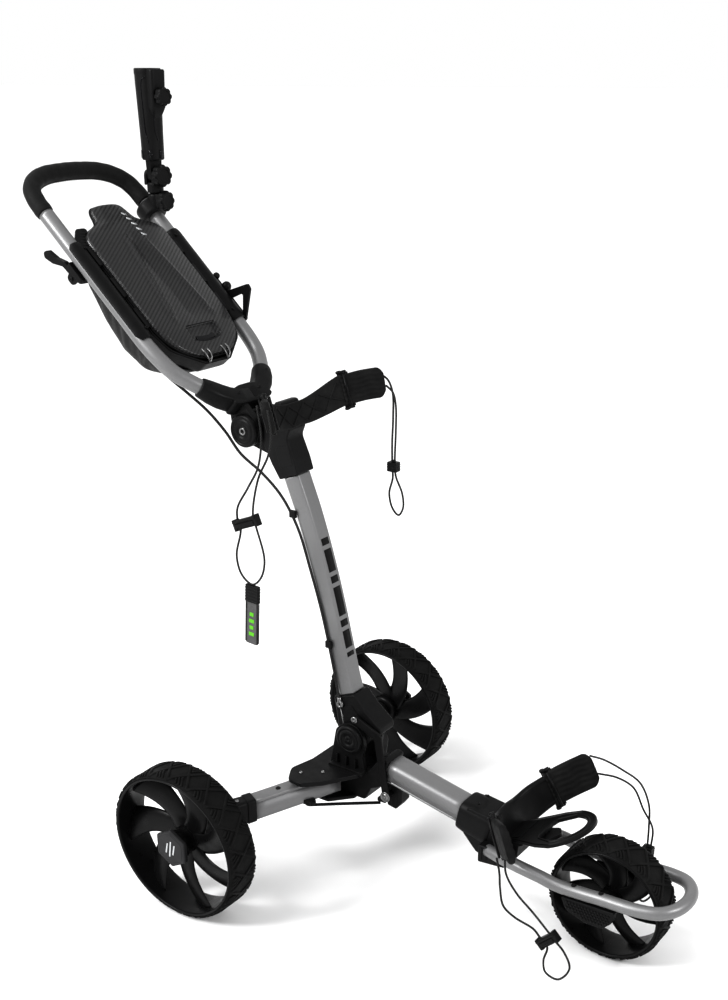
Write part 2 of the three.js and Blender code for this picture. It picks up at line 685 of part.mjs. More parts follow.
// ---------- brake cable ----------
const CABLE_RADIUS = 2.2;
place('brake_cable_upper', sweep([
  vec(-10, -105, -16), vec(60, -105, -15.5), vec(110, -104, -16), vec(146, -101, -15.5),
  vec(178, -92, -15), vec(208, -77, -18), vec(244, -57, -25), vec(281, -42, -35),
], CABLE_RADIUS, 8, 12), cordBlack, handleFrame);

// The lower run is clipped to the upright in two places and ends in an eyelet.
function lowerCable() {
  const run = sweep([
    vec(-87, -41, 700), vec(-64, -34, 676), vec(-28, -26, 648), vec(6, -22.4, 616),
    vec(36, -22.3, 570), vec(58, -22.3, 508), vec(79, -22.3, 440), vec(96, -22.3, 368),
    vec(106, -22.4, 320), vec(112, -23, 290),
  ], CABLE_RADIUS, 8, 20);
  const clips = [[26, 592], [91, 387]].map(([x, z]) => box(x - 5, x + 7, -25.2, -19.6, z - 6, z + 6));
  const eyelet = rodY(113, 287, -25.6, -20.9, 6, 12);
  return join(run, ...clips, eyelet);
}
place('brake_cable_lower', lowerCable(), cordBlack, cart);

// ---------- accessories on the left tube ----------
function accessoryBracket() {
  const inner = HANDLE_HALF_WIDTH + HANDLE_TUBE_RADIUS + 1;
  const plate = box(28, 122, inner, inner + 7, -10, 8);
  const arm = slabXZ(outline([[62, 2], [78, 2], [92, 34], [118, 2], [124, 4], [98, 50], [89, 52]]),
    inner + 0.5, inner + 5);
  const knob = rod(vec(58, inner + 8.4, 2), vec(58, inner + 8.4, 18), 8);
  const stud = rod(vec(34, inner + 5.9, 4), vec(34, inner + 5.9, 13), 5.5);
  return join(plate, arm, knob, stud);
}
place('accessory_bracket', accessoryBracket(), blackPlastic, handleFrame);

// ---------- umbrella holder ----------
// It stands on a clamp round the left handle tube, near the grip.
const UMBRELLA = {
  x: -342, y: 106, seat: 1031.5, knuckle: 1059, tubeBottom: 1082, tubeTop: 1216, lock: 1176,
};

function umbrellaClamp() {
  const { x, y, seat } = UMBRELLA;
  const onTube = (along) => vec(
    HANDLE_PLANE.x + along * Math.cos(HANDLE_PLANE.tilt * DEG), HANDLE_HALF_WIDTH,
    HANDLE_PLANE.z - along * Math.sin(HANDLE_PLANE.tilt * DEG));
  const block = rod(onTube(-128), onTube(-104), 23, 14);
  const pedestal = rod(vec(x, y, seat - 24), vec(x, y, seat), 13, 14);
  const knobEar = box(x - 8, x + 14.5, y - 10, y + 10, seat - 22, seat);
  const tubeHole = rod(onTube(-150), onTube(-60), HANDLE_TUBE_RADIUS + GAP, 14);
  const knobHole = rod(vec(x, y, seat - 11), vec(x + 30, y, seat - 11), 3.4, 10);
  return cut(join(block, pedestal, knobEar), tubeHole, knobHole);
}
place('umbrella_clamp', umbrellaClamp(), blackPlastic, cart);

const umbrella = new THREE.Group();
umbrella.position.set(UMBRELLA.x, UMBRELLA.y, 0);
umbrella.rotation.z = -10 * DEG;
cart.add(umbrella);

function umbrellaBase() {
  const { seat, knuckle } = UMBRELLA;
  const post = rod(vec(0, 0, seat + GAP), vec(0, 0, knuckle - 11), 13, 14);
  const ears = [-13, 6.5].map((x) => box(x, x + 6.5, -12, 12, knuckle - 15, knuckle + 8));
  const pinHole = rod(vec(-40, 0, knuckle), vec(40, 0, knuckle), 4.3, 10);
  return cut(join(post, ...ears), pinHole);
}
place('umbrella_base', umbrellaBase(), blackPlastic, umbrella);

function umbrellaTube() {
  const { knuckle, tubeBottom, tubeTop, lock } = UMBRELLA;
  const tongue = join(
    box(-6, 6, -10, 10, knuckle, tubeBottom + 4),
    rod(vec(-6, 0, knuckle), vec(6, 0, knuckle), 10, 16));
  const barrel = new THREE.CylinderGeometry(21, 18, tubeTop - tubeBottom, 18);
  barrel.rotateX(90 * DEG);
  barrel.translate(0, 0, (tubeTop + tubeBottom) / 2);
  const bore = rod(vec(0, 0, tubeBottom + 12), vec(0, 0, tubeTop + 5), 15, 18);
  const pinHole = rod(vec(-40, 0, knuckle), vec(40, 0, knuckle), 4.3, 10);
  const knobHole = rod(vec(10, 0, lock), vec(40, 0, lock), 3.4, 10);
  const housing = box(12, 29, -9, 9, lock - 22, tubeTop - 2);
  return cut(join(tongue, barrel, housing), bore, pinHole, knobHole);
}
place('umbrella_tube', umbrellaTube(), blackPlastic, umbrella);

// A lobed knob on a threaded stem; both lie along +X from the seat.
function knob(seat, height, stemLength, stemRadius, radius, depth) {
  const head = Array.from({ length: 14 }, (_, i) => {
    const r = i % 2 ? radius : radius * 0.86;
    return [r * Math.cos((i / 14) * 2 * Math.PI), r * Math.sin((i / 14) * 2 * Math.PI)];
  });
  const disc = new THREE.ExtrudeGeometry(outline(head), { depth, bevelEnabled: false });
  disc.rotateY(90 * DEG);
  disc.translate(seat, 0, height);
  return join(disc, rod(vec(seat - stemLength, 0, height), vec(seat + 2, 0, height), stemRadius, 10));
}
place('tilt_knob', knob(13.4, UMBRELLA.knuckle, 26.4, 4, 17, 13), blackPlastic, umbrella);
const clampKnob = place('clamp_knob', knob(15, 0, 10, 3, 16, 12), blackPlastic, cart);
clampKnob.position.set(UMBRELLA.x, UMBRELLA.y, UMBRELLA.seat - 11);
place('umbrella_lock_knob', knob(31, UMBRELLA.lock, 15, 3, 14, 12), blackPlastic, umbrella);

// ---------- bungee cords ----------
// Each is one closed loop of shock cord that hangs from a strap pad, through a sliding cord lock.
const cordTube = (points) =>
  sweep(points.map(([x, y, z]) => vec(x, y, z)), CORD_RADIUS, CORD_SIDES, CORD_STEPS);

place('bungee_upper_right', cordTube([
  [66, -143, 792], [72, -143.5, 750], [64, -143, 704], [42, -142, 668], [18, -140, 632],
  [15.5, -138, 612], [20.5, -138, 599], [10, -138, 555], [18, -138, 527], [38, -138, 515],
  [56, -138, 530], [64, -138, 560], [51.5, -138, 606], [45.5, -138, 624], [56, -136, 680],
  [80, -139, 722], [88, -141, 752], [84, -142, 788],
]), cordBlack, cart);
place('bungee_upper_left', cordTube([
  [79, 140.5, 786], [90, 144, 778], [99, 144, 760], [101, 143, 720], [100, 142, 680], [101, 141, 642],
  [102, 141, 622], [96, 140, 596], [102, 140, 572], [114, 140, 562], [123, 140, 576], [121, 140, 600],
  [108, 141, 626], [106, 141, 650], [107, 142, 700], [106, 143, 740], [101, 142, 760], [90, 139, 770],
]), cordBlack, cart);
place('bungee_lower_right', cordTube([
  [474, -134, 190], [480, -135, 168], [482, -134, 140], [488, -132, 110], [506, -130, 97],
  [536, -127, 87], [547, -126, 76], [559, -125, 64], [554, -124, 36], [558, -123, 16],
  [578, -123, 12], [596, -123, 40], [586, -124, 65], [573, -125, 78], [561, -126, 90],
  [534, -128, 116], [508, -131, 140], [491, -134, 168], [488, -135, 192],
]), cordBlack, cart);
place('bungee_lower_left', cordTube([
  [486, 131, 240], [510, 132, 240], [544, 132, 232], [574, 131, 220], [592, 130, 188],
  [596, 129, 150], [597, 128, 118], [596.5, 127, 94], [586, 126, 60], [586, 126, 28], [598, 126, 12],
  [612, 126, 28], [612, 126, 62], [601, 127, 96], [603, 128, 118], [602, 129, 150], [584, 130, 176],
  [564, 131, 208], [536, 132, 216], [502, 133, 212],
]), cordBlack, cart);

// ---------- cord locks ----------
// Each lock grips both strands of its cord just above the free loop.
function cordLock([x, y, z], tilt, width, strand) {
  const body = box(-width, width, -6, 6, -9, 9);
  const slots = [-1, 1].map((side) =>
    box(side * strand - 6.4, side * strand + 6.4, -3.9, 3.9, -12, 12));
  const bar = box(-width - 2, width + 2, -7, -4, 2, 7);
  const lock = join(cut(body, ...slots), bar);
  lock.rotateY(tilt * DEG);
  lock.translate(x, y, z);
  return lock;
}
place('cord_lock_upper_right', cordLock([33, -138, 612], -22, 23, 16), blackPlastic, cart);
place('cord_lock_lower_right', cordLock([560, -125.5, 77], -45, 18, 10), blackPlastic, cart);

// The small locks grip strands that run side by side.
function smallLock([x, y, z]) {
  const body = box(-9, 9, -7, 7, -9, 9);
  const slot = box(-5.6, 5.6, -2.6, 2.6, -12, 12);
  const lock = cut(body, slot);
  lock.translate(x, y, z);
  return lock;
}
place('cord_lock_upper_left', smallLock([103.6, 141, 642]), blackPlastic, cart);
place('cord_lock_lower_left', smallLock([599, 127.5, 108]), blackPlastic, cart);

function pullTab() {
  const sleeve = box(-9, 9, -3.4, 3.4, -14, 12);
  const slot = box(-7, 7, -1.9, 1.9, 4, 20);
  const tongue = box(-9, 9, -2, 2, -84, -13);
  const tab = join(cut(sleeve, slot), tongue);
  tab.rotateY(4 * DEG);
  tab.translate(38, -138, 500);
  return tab;
}
place('pull_tab', pullTab(), fabric, cart);

export default cart;
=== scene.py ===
# The golf push cart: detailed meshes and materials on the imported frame.
# Shapes are drawn in the cart's own millimetres, measured from the ground under the rear axle.
import math

import bpy
import numpy as np
from mathutils import Matrix, Vector


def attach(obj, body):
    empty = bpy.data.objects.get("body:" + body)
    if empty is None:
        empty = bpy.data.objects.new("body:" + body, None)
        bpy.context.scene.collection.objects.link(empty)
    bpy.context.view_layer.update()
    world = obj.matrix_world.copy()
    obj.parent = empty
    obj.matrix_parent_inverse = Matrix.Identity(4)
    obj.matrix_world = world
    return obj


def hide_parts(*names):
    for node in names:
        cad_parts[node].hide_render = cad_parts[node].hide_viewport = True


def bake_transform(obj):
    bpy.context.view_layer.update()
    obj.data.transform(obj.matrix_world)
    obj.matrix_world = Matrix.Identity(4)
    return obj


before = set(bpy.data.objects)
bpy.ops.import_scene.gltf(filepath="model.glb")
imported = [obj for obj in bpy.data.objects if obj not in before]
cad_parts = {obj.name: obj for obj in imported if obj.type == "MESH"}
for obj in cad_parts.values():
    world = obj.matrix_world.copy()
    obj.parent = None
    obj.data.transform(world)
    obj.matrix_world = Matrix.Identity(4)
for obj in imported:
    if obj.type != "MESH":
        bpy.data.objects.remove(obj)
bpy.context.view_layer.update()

# ---------- dimensions, in millimetres ----------
AXLE_TO_ORIGIN = 144.7
REAR_WHEEL = {"radius": 125, "width": 59}
FRONT_WHEEL = {"radius": 95, "width": 57}
HALF_TRACK = 282
WHEELBASE = 599
SPOKE_COUNT = 7
TYRE_THICKNESS = 7
LOWER_PIVOT = (137, 234)
UPPER_PIVOT = (-57, 712)
LEG_PIVOT = (103, -48, 152)
LEG_SWEEP = math.radians(117.8)
LEG_SLOPE = math.radians(5)
FRONT_TUBE_SLOPE = math.radians(11.6)
HANDLE_ORIGIN = (-268.6, 924.5)
HANDLE_TILT = math.radians(42.6)
CORD_RADIUS = 1.6
UP = (0, 0, 1)
AXIS = 0.01  # radius of a turned profile's points on its own axis


# ---------- frames ----------
def metres(points):
    """Cart millimetres to the row frame in metres."""
    out = np.asarray(points, float) / 1000
    out[..., 0] -= AXLE_TO_ORIGIN / 1000
    return out


def from_handle(points):
    """Handle-plane millimetres (down the tubes, left, out of the plane) to cart millimetres."""
    p = np.asarray(points, float)
    c, s = math.cos(HANDLE_TILT), math.sin(HANDLE_TILT)
    return np.stack([
        HANDLE_ORIGIN[0] + c * p[..., 0] + s * p[..., 2],
        p[..., 1],
        HANDLE_ORIGIN[1] - s * p[..., 0] + c * p[..., 2],
    ], -1)


def mirrored(points):
    """The same points on the cart's other side."""
    return np.asarray(points, float) * (1, -1, 1)


# ---------- camera ----------
CAMERA_PLACE = (1237, -1513, 1240)
CAMERA_YAW = 34.06
CAMERA_PITCH = 25.09
CAMERA_ROLL = -0.33


def make_camera():
    data = bpy.data.cameras.new("camera")
    data.lens = 46.66
    data.sensor_width = 36
    data.shift_x = -0.0364
    data.shift_y = 0.1594
    data.clip_start, data.clip_end = 0.05, 50
    camera = bpy.data.objects.new("camera", data)
    bpy.context.collection.objects.link(camera)
    camera.location = metres(CAMERA_PLACE)
    turn = Matrix.Rotation(math.radians(CAMERA_YAW), 3, "Z")
    tip = Matrix.Rotation(math.radians(90 - CAMERA_PITCH), 3, "X")
    roll = Matrix.Rotation(math.radians(-CAMERA_ROLL), 3, "Z")
    camera.rotation_euler = (turn @ tip @ roll).to_euler()
    bpy.context.scene.camera = camera


make_camera()


# ---------- forms: (vertices, faces), in cart millimetres ----------
def joined(*forms):
    vertices, faces, start = [], [], 0
    for v, f in forms:
        vertices.append(np.asarray(v, float).reshape(-1, 3))
        faces += [tuple(i + start for i in face) for face in f]
        start += len(vertices[-1])
    return np.concatenate(vertices), faces


def moved(form, change):
    """The form with its points put through a function."""
    return change(np.asarray(form[0], float)), form[1]


def placed(form, place):
    return moved(form, lambda v: v + np.asarray(place, float))


def flipped(form):
    """The form mirrored to the cart's other side, with its faces still pointing out."""
    return mirrored(form[0]), [tuple(reversed(face)) for face in form[1]]


def skin(rings, hoop=False):
    """A surface over rings of equal length: closed by flat ends, or back to its first ring."""
    rings = [np.asarray(r, float) for r in rings]
    n, count = len(rings[0]), len(rings)
    last = (count - 1) * n
    faces = []
    for start in range(0, last + n if hoop else last, n):
        after = (start + n) % (count * n)
        faces += [(start + i, start + (i + 1) % n, after + (i + 1) % n, after + i) for i in range(n)]
    if not hoop:
        faces += [tuple(reversed(range(n))), tuple(range(last, last + n))]
    return outward((np.concatenate(rings), faces))


def outward(form):
    """The form with its faces turned to point out."""
    vertices, faces = form
    volume = 0.0
    for face in faces:
        a = vertices[face[0]]
        for j in range(1, len(face) - 1):
            volume += np.dot(a, np.cross(vertices[face[j]], vertices[face[j + 1]]))
    return form if volume >= 0 else (vertices, [tuple(reversed(f)) for f in faces])


def rounded(outline, radius, steps=5):
    """A 2-D outline with its corners rounded off; radius is one number, or one per corner."""
    points = [np.asarray(p, float) for p in outline]
    count = len(points)
    radii = radius if hasattr(radius, "__len__") else [radius] * count
    out = []
    for i, corner in enumerate(points):
        before, after = points[i - 1] - corner, points[(i + 1) % count] - corner
        lengths = np.linalg.norm(before), np.linalg.norm(after)
        before, after = before / lengths[0], after / lengths[1]
        half = math.acos(float(np.clip(np.dot(before, after), -0.9999, 0.9999))) / 2
        reach = min(radii[i] / math.tan(half), 0.48 * min(lengths))
        if reach < 0.05:
            out.append(corner)
            continue
        start, end = corner + before * reach, corner + after * reach
        for k in range(steps + 1):
            t = k / steps
            out.append((1 - t) ** 2 * start + 2 * t * (1 - t) * corner + t ** 2 * end)
    return np.array(out)


def slab(outline, low, high, plane="xz"):
    """A flat-sided slab of a 2-D outline between two levels of the third axis."""
    rings = []
    for level in (low, high):
        a, b = np.asarray(outline, float).T
        c = np.full(len(a), float(level))
        rings.append(np.stack((a, c, b) if plane == "xz" else (a, b, c), -1))
    return skin(rings)


def smooth_path(points, count):
    """Evenly spaced points on a centripetal Catmull-Rom curve."""
    p = np.asarray(points, float)
    p = np.concatenate([[2 * p[0] - p[1]], p, [2 * p[-1] - p[-2]]])
    fine = []
    for i in range(1, len(p) - 2):
        quad = p[i - 1:i + 3]
        t = np.concatenate([[0], np.cumsum(np.linalg.norm(np.diff(quad, axis=0), axis=1) ** 0.5)])
        for u in np.linspace(t[1], t[2], 24, endpoint=False):
            level = list(quad)
            for order in range(1, 4):
                for j in range(4 - order):
                    if order == 3:
                        low, high = t[1], t[2]
                    else:
                        low, high = t[j], t[j + order]
                    level[j] = ((high - u) * level[j] + (u - low) * level[j + 1]) / (high - low)
            fine.append(level[0])
    fine.append(p[-2])
    fine = np.array(fine)
    along = np.concatenate([[0], np.cumsum(np.linalg.norm(np.diff(fine, axis=0), axis=1))])
    wanted = np.linspace(0, along[-1], count)
    return np.stack([np.interp(wanted, along, fine[:, k]) for k in range(3)], -1)


def unit(vector):
    return vector / np.linalg.norm(vector)


def directions(path):
    """The unit direction at each point of a path."""
    d = np.gradient(path, axis=0)
    return d / np.linalg.norm(d, axis=1)[:, None]


def frames_along(path, up):
    """Side and up at each point of a path, without twist."""
    d = directions(path)
    side = unit(np.cross(d[0], up))
    sides = []
    for direction in d:
        side = unit(side - direction * np.dot(side, direction))
        sides.append(side)
    sides = np.array(sides)
    return sides, np.cross(sides, d)


def tube(path, radius, sides=16, up=UP):
    """A round tube along a path; radius is one number, or one per point."""
    path = np.asarray(path, float)
    radii = np.broadcast_to(radius, len(path))
    side, rise = frames_along(path, up)
    angle = np.linspace(0, 2 * math.pi, sides, endpoint=False)
    ring = np.cos(angle)[:, None, None] * side + np.sin(angle)[:, None, None] * rise
    rings = path + ring * radii[:, None]
    return skin(np.swapaxes(rings, 0, 1))


def bar(path, section):
    """A bar of one 2-D section (side, up) along a path."""
    path = np.asarray(path, float)
    side, rise = frames_along(path, UP)
    section = np.asarray(section, float)
    return skin([p + section[:, :1] * s + section[:, 1:] * r for p, s, r in zip(path, side, rise)])


def lathe(profile, centre, axis="y", segments=64):
    """A closed profile of (radius, height) turned round an axis through centre."""
    r, h = np.asarray(profile, float).T
    rings = []
    for a in np.linspace(0, 2 * math.pi, segments, endpoint=False):
        x, y = r * math.cos(a), r * math.sin(a)
        rings.append(np.stack([x, h, y] if axis == "y" else [x, y, h], -1) + centre)
    return skin(rings, hoop=True)


def stood(form, place, direction):
    """A form drawn round the Z axis, moved to place with that axis along direction."""
    turn = np.array(Vector(UP).rotation_difference(Vector(direction)).to_matrix())
    return moved(form, lambda v: v @ turn.T + np.asarray(place, float))


def turned(profile, place, direction, segments=40):
    """A solid of revolution with its axis at place along direction; profile is (radius, height)."""
    return stood(lathe(profile, (0, 0, 0), "z", segments), place, direction)


def fluted(radius, depth, place, lobes=8, bite=0.14, chamfer=2.5):
    """A knob head: a lobed disc with chamfered rims, standing on place and facing forward."""
    count = lobes * 8
    angle = np.linspace(0, 2 * math.pi, count, endpoint=False)
    lobe = 1 - bite * (0.5 - 0.5 * np.cos(lobes * angle)) ** 2
    rings = []
    for scale, height in ((0.4, 0), (0.9, 0), (1, chamfer), (1, depth - chamfer), (0.9, depth),
                          (0.62, depth), (0.58, depth - 1.2), (0.1, depth - 1.2)):
        r = radius * scale * (lobe if scale > 0.65 else np.ones(count))
        rings.append(np.stack([r * np.cos(angle), r * np.sin(angle), np.full(count, height)], -1))
    return stood(skin(rings), place, (1, 0, 0))


def screw(place, direction, radius=3.2):
    """A domed screw head with a socket."""
    return turned([
        (AXIS, -0.6), (radius, -0.6), (radius, 0.6), (radius * 0.8, 1.5), (radius * 0.5, 1.8),
        (radius * 0.45, 0.9), (AXIS, 0.9),
    ], place, direction, 18)


# ---------- pieces ----------
def make_object(name, form, material):
    vertices, faces = form
    mesh = bpy.data.meshes.new(name)
    mesh.from_pydata([tuple(v) for v in metres(vertices)], [], faces)
    mesh.validate()
    mesh.update()
    mesh.polygons.foreach_set("use_smooth", [True] * len(mesh.polygons))
    mesh.materials.append(material)
    obj = bpy.data.objects.new(name, mesh)
    bpy.context.collection.objects.link(obj)
    return obj


def soften(obj, bevel):
    """Rounds the hard edges by bevel millimetres."""
    modifier = obj.modifiers.new("bevel", "BEVEL")
    modifier.width = bevel / 1000
    modifier.segments = 2
    modifier.limit_method = "ANGLE"
    modifier.angle_limit = math.radians(30)
    modifier.use_clamp_overlap = True
    weighted = obj.modifiers.new("normals", "WEIGHTED_NORMAL")
    weighted.keep_sharp = True


def piece(name, form, material, body, slot, replaces=(), bevel=0.0):
    """One visible piece that rides on a CAD body and stands for the named CAD nodes."""
    obj = make_object(name, form, material)
    if bevel:
        soften(obj, bevel)
    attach(obj, body)
    if replaces:
        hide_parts(*replaces)
    return obj


def on_both_sides(name, form, material, body, slot, replaces=(), **looks):
    """A right-hand piece and its mirror image; a body or node name ending in _ gets its side."""
    for side in ("right", "left"):
        side_form = form if side == "right" else flipped(form)
        own_body = body + side if body.endswith("_") else body
        own_nodes = [n + side if n.endswith("_") else n for n in replaces]
        piece(f"{name}_{side}", side_form, material, own_body, slot, own_nodes, **looks)


# ---------- materials ----------
class Nodes:
    """A material's node tree, with short calls for the nodes used here."""

    def __init__(self, name):
        self.material = bpy.data.materials.new(name)
        self.material.use_nodes = True
        self.tree = self.material.node_tree
        self.shader = self.tree.nodes["Principled BSDF"]
        self.place = self.node("ShaderNodeTexCoord").outputs["Object"]

    def node(self, kind, inputs=(), **settings):
        made = self.tree.nodes.new(kind)
        for key, value in settings.items():
            setattr(made, key, value)
        for key, value in dict(inputs).items():
            self.set(made.inputs[key], value)
        return made

    def set(self, socket, value):
        if isinstance(value, bpy.types.NodeSocket):
            self.tree.links.new(value, socket)
        else:
            socket.default_value = value

    def noise(self, scale, detail=3, roughness=0.5, at=None):
        made = self.node("ShaderNodeTexNoise", {
            "Vector": at or self.place, "Scale": scale, "Detail": detail, "Roughness": roughness})
        return made.outputs["Fac"]

    def math(self, operation, a, b=0.0):
        return self.node("ShaderNodeMath", {0: a, 1: b}, operation=operation).outputs[0]

    def wave(self, value, rate):
        return self.math("SINE", self.math("MULTIPLY", value, rate))

    def ramp(self, fac, low, high, dark, light):
        """Maps fac from low..high onto dark..light."""
        made = self.node("ShaderNodeMapRange", {
            "Value": fac, "From Min": low, "From Max": high, "To Min": dark, "To Max": light})
        return made.outputs["Result"]

    def mix(self, fac, a, b):
        made = self.node("ShaderNodeMix", data_type="RGBA")
        self.set(made.inputs[0], fac)
        self.set(made.inputs[6], a)
        self.set(made.inputs[7], b)
        return made.outputs[2]

    def mapped(self, rotation=(0, 0, 0), scale=(1, 1, 1)):
        made = self.node("ShaderNodeMapping", {
            "Vector": self.place, "Rotation": rotation, "Scale": scale})
        return made.outputs["Vector"]

    def bump(self, height, distance, strength=1.0, normal=None):
        made = self.node("ShaderNodeBump", {
            "Height": height, "Distance": distance, "Strength": strength})
        if normal is not None:
            self.set(made.inputs["Normal"], normal)
        return made.outputs["Normal"]

    def finish(self, color, roughness, normal=None, metallic=0.0, **fixed):
        self.set(self.shader.inputs["Base Color"], color)
        self.set(self.shader.inputs["Roughness"], roughness)
        self.shader.inputs["Metallic"].default_value = metallic
        for key, value in fixed.items():
            self.shader.inputs[key.replace("_", " ")].default_value = value
        if normal is not None:
            self.set(self.shader.inputs["Normal"], normal)
        return self.material


def grey(value, tint=0.0):
    return (value, value, value * (1 + tint), 1)


def moulded_plastic(name, dark, light, roughness, grain=0.00012, coarse=False):
    """Black plastic with a fine eroded grain, rubbed a little brighter here and there."""
    n = Nodes(name)
    mottle = n.noise(28, 4, 0.6)
    rubbed = n.ramp(n.noise(9, 3, 0.55), 0.52, 0.72, 0, 1)
    color = n.mix(mottle, grey(dark, 0.04), grey(light, 0.04))
    color = n.mix(n.math("MULTIPLY", rubbed, 0.35), color, grey(light * 1.7, 0.03))
    rough = n.ramp(n.noise(60, 3, 0.6), 0.3, 0.7, roughness - 0.07, roughness + 0.09)
    fine = n.noise(900 if coarse else 1700, 2, 0.6)
    return n.finish(color, rough, n.bump(fine, grain, 0.7), Specular_IOR_Level=0.14)


def satin_metal(name, low, high, roughness, metallic, tint=0.01):
    """Satin paint over aluminium: fine metallic fleck, faint long scratches and handling marks."""
    n = Nodes(name)
    fleck = n.noise(2600, 2, 0.5)
    marks = n.ramp(n.noise(16, 5, 0.7), 0.35, 0.75, 0, 1)
    streak = n.noise(420, 2, 0.5, n.mapped(scale=(1, 1, 0.05)))
    color = n.mix(n.ramp(fleck, 0.35, 0.65, 0, 1), grey(low, tint), grey(high, tint))
    color = n.mix(n.math("MULTIPLY", marks, 0.12), color, grey(low * 0.75, tint))
    rough = n.ramp(marks, 0, 1, roughness, roughness + 0.1)
    rough = n.math("ADD", rough, n.ramp(streak, 0.6, 0.75, 0, 0.08))
    return n.finish(color, rough, n.bump(fleck, 0.00003, 0.4), metallic, Coat_Weight=0.15,
                    Coat_Roughness=0.3)


def brushed_steel():
    n = Nodes("brushed_steel")
    brush = n.noise(1500, 3, 0.6, n.mapped(scale=(0.04, 1, 1)))
    color = n.mix(brush, grey(0.14), grey(0.26))
    rough = n.ramp(brush, 0.3, 0.7, 0.24, 0.42)
    return n.finish(color, rough, n.bump(brush, 0.00003, 0.4), 1.0)


def tyre_rubber(name, dark, light):
    n = Nodes(name)
    dust = n.ramp(n.noise(22, 5, 0.65), 0.4, 0.75, 0, 1)
    color = n.mix(dust, grey(dark, 0.02), grey(light, -0.03))
    rough = n.ramp(n.noise(70, 3, 0.6), 0.3, 0.7, 0.58, 0.78)
    pores = n.noise(1300, 3, 0.65)
    return n.finish(color, rough, n.bump(pores, 0.00018, 0.6), Specular_IOR_Level=0.14)


def wrapped_leather():
    """Grip wrap: creased leather grain, with painted shade darkening the creases."""
    n = Nodes("wrapped_leather")
    cells = n.node("ShaderNodeTexVoronoi", {"Vector": n.place, "Scale": 620},
                   feature="DISTANCE_TO_EDGE").outputs["Distance"]
    crease = n.ramp(cells, 0.0, 0.09, 0, 1)
    folds = n.noise(46, 4, 0.6)
    # painted shade: the grain's creases are painted darker than the leather between them
    color = n.mix(crease, grey(0.003), grey(0.010))
    color = n.mix(n.ramp(folds, 0.5, 0.75, 0, 0.5), color, grey(0.02))
    rough = n.ramp(folds, 0.3, 0.7, 0.5, 0.68)
    normal = n.bump(crease, 0.00022, 0.6)
    normal = n.bump(folds, 0.0009, 0.35, normal)
    return n.finish(color, rough, normal, Specular_IOR_Level=0.14)


def carbon_weave():
    """Twill weave of carbon tows under clear lacquer, laid at a slant to the lid's length. The tows on top
    carry a painted sheen, lighter than the tows beneath, and painted shade darkens the dips between tows.
    """
    n = Nodes("carbon_weave")
    flat = n.mapped(rotation=(0, -HANDLE_TILT, 0))
    turned_flat = n.node("ShaderNodeMapping", {
        "Vector": flat, "Rotation": (0, 0, math.radians(12))}).outputs["Vector"]
    split = n.node("ShaderNodeSeparateXYZ", {0: turned_flat})
    tow = 0.0019  # width of one tow, in metres
    u = n.math("DIVIDE", split.outputs["X"], tow)
    v = n.math("DIVIDE", split.outputs["Y"], tow)
    step = n.math("ADD", n.math("FLOOR", u), n.math("FLOOR", v))
    phase = n.math("FLOORED_MODULO", step, 4.0)
    over = n.math("LESS_THAN", phase, 1.5)
    across_u = n.wave(n.math("FRACT", u), math.pi)
    across_v = n.wave(n.math("FRACT", v), math.pi)
    height = n.node("ShaderNodeMix", {0: over, 2: across_v, 3: across_u}).outputs[0]
    # painted sheen: the tows on top are painted lighter than the tows beneath
    shade = n.mix(over, grey(0.003, 0.05), grey(0.024, 0.03))
    # painted shade: colour darkens where the tow height falls, in the dips between tows
    color = n.mix(n.ramp(height, 0.0, 0.6, 1, 0), shade, grey(0.003))
    rough = n.ramp(over, 0, 1, 0.46, 0.28)
    return n.finish(color, rough, n.bump(height, 0.00025, 0.8), 0.0, Coat_Weight=0.3,
                    Coat_Roughness=0.16, Specular_IOR_Level=0.3)


def woven_cloth(name, dark, light, pitch):
    """Plain-woven nylon with slack threads and a soft sheen, with painted shade: the weave's raised threads
    are painted lighter and its dips darker.
    """
    n = Nodes(name)
    split = n.node("ShaderNodeSeparateXYZ", {0: n.mapped(rotation=(0, -HANDLE_TILT, 0))})
    warp, weft = [n.wave(split.outputs[axis], 2 * math.pi / pitch) for axis in "XY"]
    weave = n.math("MULTIPLY", warp, weft)
    slack = n.noise(34, 4, 0.6)
    # painted shade: colour follows the weave's bump height, lighter on raised threads, darker in the dips
    color = n.mix(n.ramp(weave, -1, 1, 0, 1), grey(dark), grey(light))
    color = n.mix(n.ramp(slack, 0.45, 0.75, 0, 0.5), color, grey(light * 1.5))
    normal = n.bump(weave, 0.0002, 0.6)
    normal = n.bump(slack, 0.0015, 0.4, normal)
    return n.finish(color, 0.82, normal, Sheen_Weight=0.08, Sheen_Roughness=0.45)


def braided_cord():
    n = Nodes("braided_cord")
    map_node = n.node("ShaderNodeUVMap", uv_map="along")
    split = n.node("ShaderNodeSeparateXYZ", {0: map_node.outputs["UV"]})
    run, turn = split.outputs["X"], split.outputs["Y"]
    left, right = [n.wave(n.math(way, run, turn), 2 * math.pi) for way in ("ADD", "SUBTRACT")]
    braid = n.math("MAXIMUM", left, right)
    # painted shade: colour follows the braid's bump height, lighter on the strand crests, darker in the
    # grooves between strands
    color = n.mix(n.ramp(braid, -0.2, 1, 0, 1), grey(0.006), grey(0.034))
    return n.finish(color, 0.72, n.bump(braid, 0.0002, 0.6), Specular_IOR_Level=0.14)


